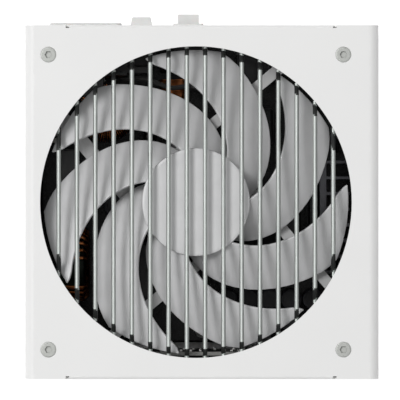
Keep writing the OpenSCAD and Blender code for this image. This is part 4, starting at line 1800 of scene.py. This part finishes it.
        low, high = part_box("output_capacitors")
        radius = self.small_can
        first = RoundCan(radius, high.z - low.z).model((low.x + radius, low.y + radius, low.z))
        across = (high.x - low.x - 2 * radius) / 5
        back = high.y - low.y - 2 * radius
        moves = [shift(i * across, j * back, 0) for i in range(6) for j in range(2)]
        small = repeat("output_capacitors_piece", first, moves)
        self.mount(ease(small, 0), CAN_SLEEVE, "output_capacitors")

    def glass_fuse(self) -> None:
        """Builds the glass fuse with its metal caps."""
        (low, high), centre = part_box("fuse"), middle("fuse")
        radius, length, cap = (high.x - low.x) / 2, high.y - low.y, self.fuse_cap
        soft = 0.5 * MM
        glass = turned(
            "glass",
            [(radius - soft, cap - MM), (radius - 0.15 * MM, cap - 0.5 * MM),
             (radius - 0.15 * MM, length - cap + 0.5 * MM), (radius - soft, length - cap + MM)],
            (centre.x, low.y, centre.z),
            Axis.Y,
        )
        glass.data.materials.append(FUSE_GLASS.material())
        edge = 0.3 * MM
        near = [(radius - soft, 0), (radius, soft), (radius, cap - edge), (radius - edge, cap)]
        caps = [turned("cap", near, (centre.x, low.y, centre.z), Axis.Y)]
        far = [(r, length - h) for r, h in reversed(near)]
        caps.append(turned("cap", far, (centre.x, low.y, centre.z), Axis.Y))
        for each in caps:
            each.data.materials.append(PIN_TIN.material())
        fuse = join("fuse_piece", [glass, *caps])
        self.mount(ease(fuse, 0), FUSE_GLASS, "fuse")

    def build(self) -> None:
        """Builds the board and its parts."""
        self.ring_chokes()
        self.coils()
        self.cans()
        self.glass_fuse()
        for trim in BOARD_PARTS:
            self.refine(trim.node, trim.finish, trim.width, trim.rows)


@dataclass
class Outputs(Assembly):
    """The upright socket board, its sockets and the bars that feed it."""

    wall: float = 0.6 * MM
    cell_gap: float = 0.8 * MM
    cell_depth: float = 6.8 * MM

    def cell(self, size: float, place: Point, eased: bool) -> Object:
        """The space inside one cell of a socket.

        Args:
            size: the cell's width and height.
            place: the middle of the cell's mouth.
            eased: whether two of its corners are cut off, as on every second cell.

        Returns:
            The space, as a shape to carve with.
        """
        centre = (place[0], place[1] + self.cell_depth / 2 - MM, place[2])
        space = box("cell", (size, self.cell_depth + 2 * MM, size), centre)
        if eased:
            with editing(space, mode="EDGE", everything=False):
                bpy.ops.mesh.select_all(action="DESELECT")
            for edge in space.data.edges:
                a, b = (space.data.vertices[i].co for i in edge.vertices)
                edge.select = abs(a.y - b.y) > size and a.z > place[2]
            with editing(space, mode="EDGE", everything=False):
                bpy.ops.mesh.bevel(offset=0.28 * size, segments=1)
        return space

    def socket(self, low: Vector, high: Vector) -> Object:
        """One socket with its two rows of cells.

        Args:
            low: the lowest corner of the socket.
            high: its highest corner.

        Returns:
            The socket.
        """
        pitch = (high.z - low.z - 2 * self.wall) / 2
        columns = round((high.x - low.x - 2 * self.wall) / pitch)
        centre = (low + high) / 2
        body = box("socket", high - low, centre)
        cells = [
            self.cell(
                pitch - self.cell_gap,
                (centre.x + (i - (columns - 1) / 2) * pitch, low.y, centre.z + (j - 0.5) * pitch),
                (i + j) % 2 == 0,
            )
            for i in range(columns)
            for j in range(2)
        ]
        return ease(carve(body, join("cells", cells)), 0.12 * MM, 2)

    def build(self) -> None:
        """Builds every piece of the output side."""
        self.refine("output_busbars", BUS_TIN, 0.2 * MM)
        self.keep("socket_board", STANDING_BOARD)
        self.refine("socket_pins", PIN_TIN, 0.1 * MM)
        shapes = traced("power_sockets", "shapes")
        with editing(shapes):
            bpy.ops.mesh.separate(type="LOOSE")
        sockets = []
        for shape in list(bpy.context.selected_objects):
            corners = [vertex.co for vertex in shape.data.vertices]
            low = Vector([min(c[axis] for c in corners) for axis in range(3)])
            high = Vector([max(c[axis] for c in corners) for axis in range(3)])
            bpy.data.objects.remove(shape)
            sockets.append((low, high))
        sockets.sort(key=lambda ends: (round(ends[0].z, 3), ends[0].x))
        made = [self.socket(low, high) for low, high in sockets]
        self.mount(join("power_sockets_piece", made), SOCKET_BLACK, "power_sockets")


# ------------------------------------------------------------------ studio


@dataclass
class Studio:
    """A pale floor, soft light from above and a firmer light from the upper left."""

    height: float = 1.986
    lens: float = 403.6
    aim: tuple[float, float] = (-0.78 * MM, 0.9 * MM)
    floor_side: float = 9.0
    key_power: float = 47.5
    key_place: tuple[float, float, float] = (-1.3, 0.6, 2.65)
    key_size: float = 0.9
    dome_power: float = 32.0
    dome_height: float = 3.2
    dome_size: float = 4.2
    sky: float = 0.3

    def camera(self) -> None:
        """Sets up the camera, high above the fan panel with a long lens."""
        camera = bpy.data.objects.new("camera", bpy.data.cameras.new("camera"))
        bpy.context.scene.collection.objects.link(camera)
        camera.data.lens = self.lens
        camera.data.sensor_width = 36
        camera.location = (*self.aim, self.height)
        camera.data.clip_start, camera.data.clip_end = 0.01, 100
        bpy.context.scene.camera = camera

    def area(self, name: str, place: Point, size: float, power: float) -> None:
        """Adds a square light that looks at the object.

        Args:
            name: the light's name.
            place: its middle.
            size: its side.
            power: its power in watts.
        """
        light = bpy.data.lights.new(name, "AREA")
        light.shape = "SQUARE"
        light.size = size
        light.energy = power
        lamp = bpy.data.objects.new(name, light)
        bpy.context.scene.collection.objects.link(lamp)
        lamp.location = place
        lamp.rotation_euler = (-Vector(place)).to_track_quat("-Z", "Y").to_euler()
        lamp.visible_camera = False

    def floor(self) -> None:
        """Adds the floor, which glows a little, as a light table does."""
        deselect()
        bpy.ops.mesh.primitive_plane_add(size=self.floor_side, location=(0, 0, 0))
        floor = bpy.context.object
        floor.name = "floor"
        graph = Graph("floor_white")
        graph.wire("Base Color", graph.ramp(graph.noise(0.4), (0.3, (0.34,) * 3), (0.7, (0.36,) * 3)))
        graph.fix(Roughness=0.7, Emission_Color=(1.0, 1.0, 1.0), Emission_Strength=0.85)
        floor.data.materials.append(graph.material)

    def surroundings(self) -> None:
        """Makes the room white to look at, and dim as a light."""
        world = bpy.data.worlds.new("room")
        world.use_nodes = True
        bpy.context.scene.world = world
        tree = world.node_tree
        sky = tree.nodes["Background"]
        sky.inputs["Color"].default_value = (1, 1, 1, 1)
        sky.inputs["Strength"].default_value = self.sky
        seen = tree.nodes.new("ShaderNodeBackground")
        seen.inputs["Color"].default_value = (1, 1, 1, 1)
        path = tree.nodes.new("ShaderNodeLightPath")
        mix = tree.nodes.new("ShaderNodeMixShader")
        tree.links.new(path.outputs["Is Camera Ray"], mix.inputs["Fac"])
        tree.links.new(sky.outputs["Background"], mix.inputs[1])
        tree.links.new(seen.outputs["Background"], mix.inputs[2])
        tree.links.new(mix.outputs["Shader"], tree.nodes["World Output"].inputs["Surface"])

    def build(self) -> None:
        """Sets up everything that isn't part of the object."""
        self.camera()
        self.area("key", self.key_place, self.key_size, self.key_power)
        self.area("dome", (0, 0.01, self.dome_height), self.dome_size, self.dome_power)
        self.floor()
        self.surroundings()
        bpy.context.scene.view_settings.view_transform = "Standard"


def main() -> None:
    """Builds the model and its studio."""
    logging.basicConfig(level=logging.INFO, format="%(message)s")
    Studio().build()
    for assembly in (Housing(), Grille(), Fan(), MainsPanel(), Electronics(), Outputs()):
        assembly.build()
        LOG.info("%s: %s pieces", type(assembly).__name__, len(assembly.made))


if __name__ == "__main__":
    main()
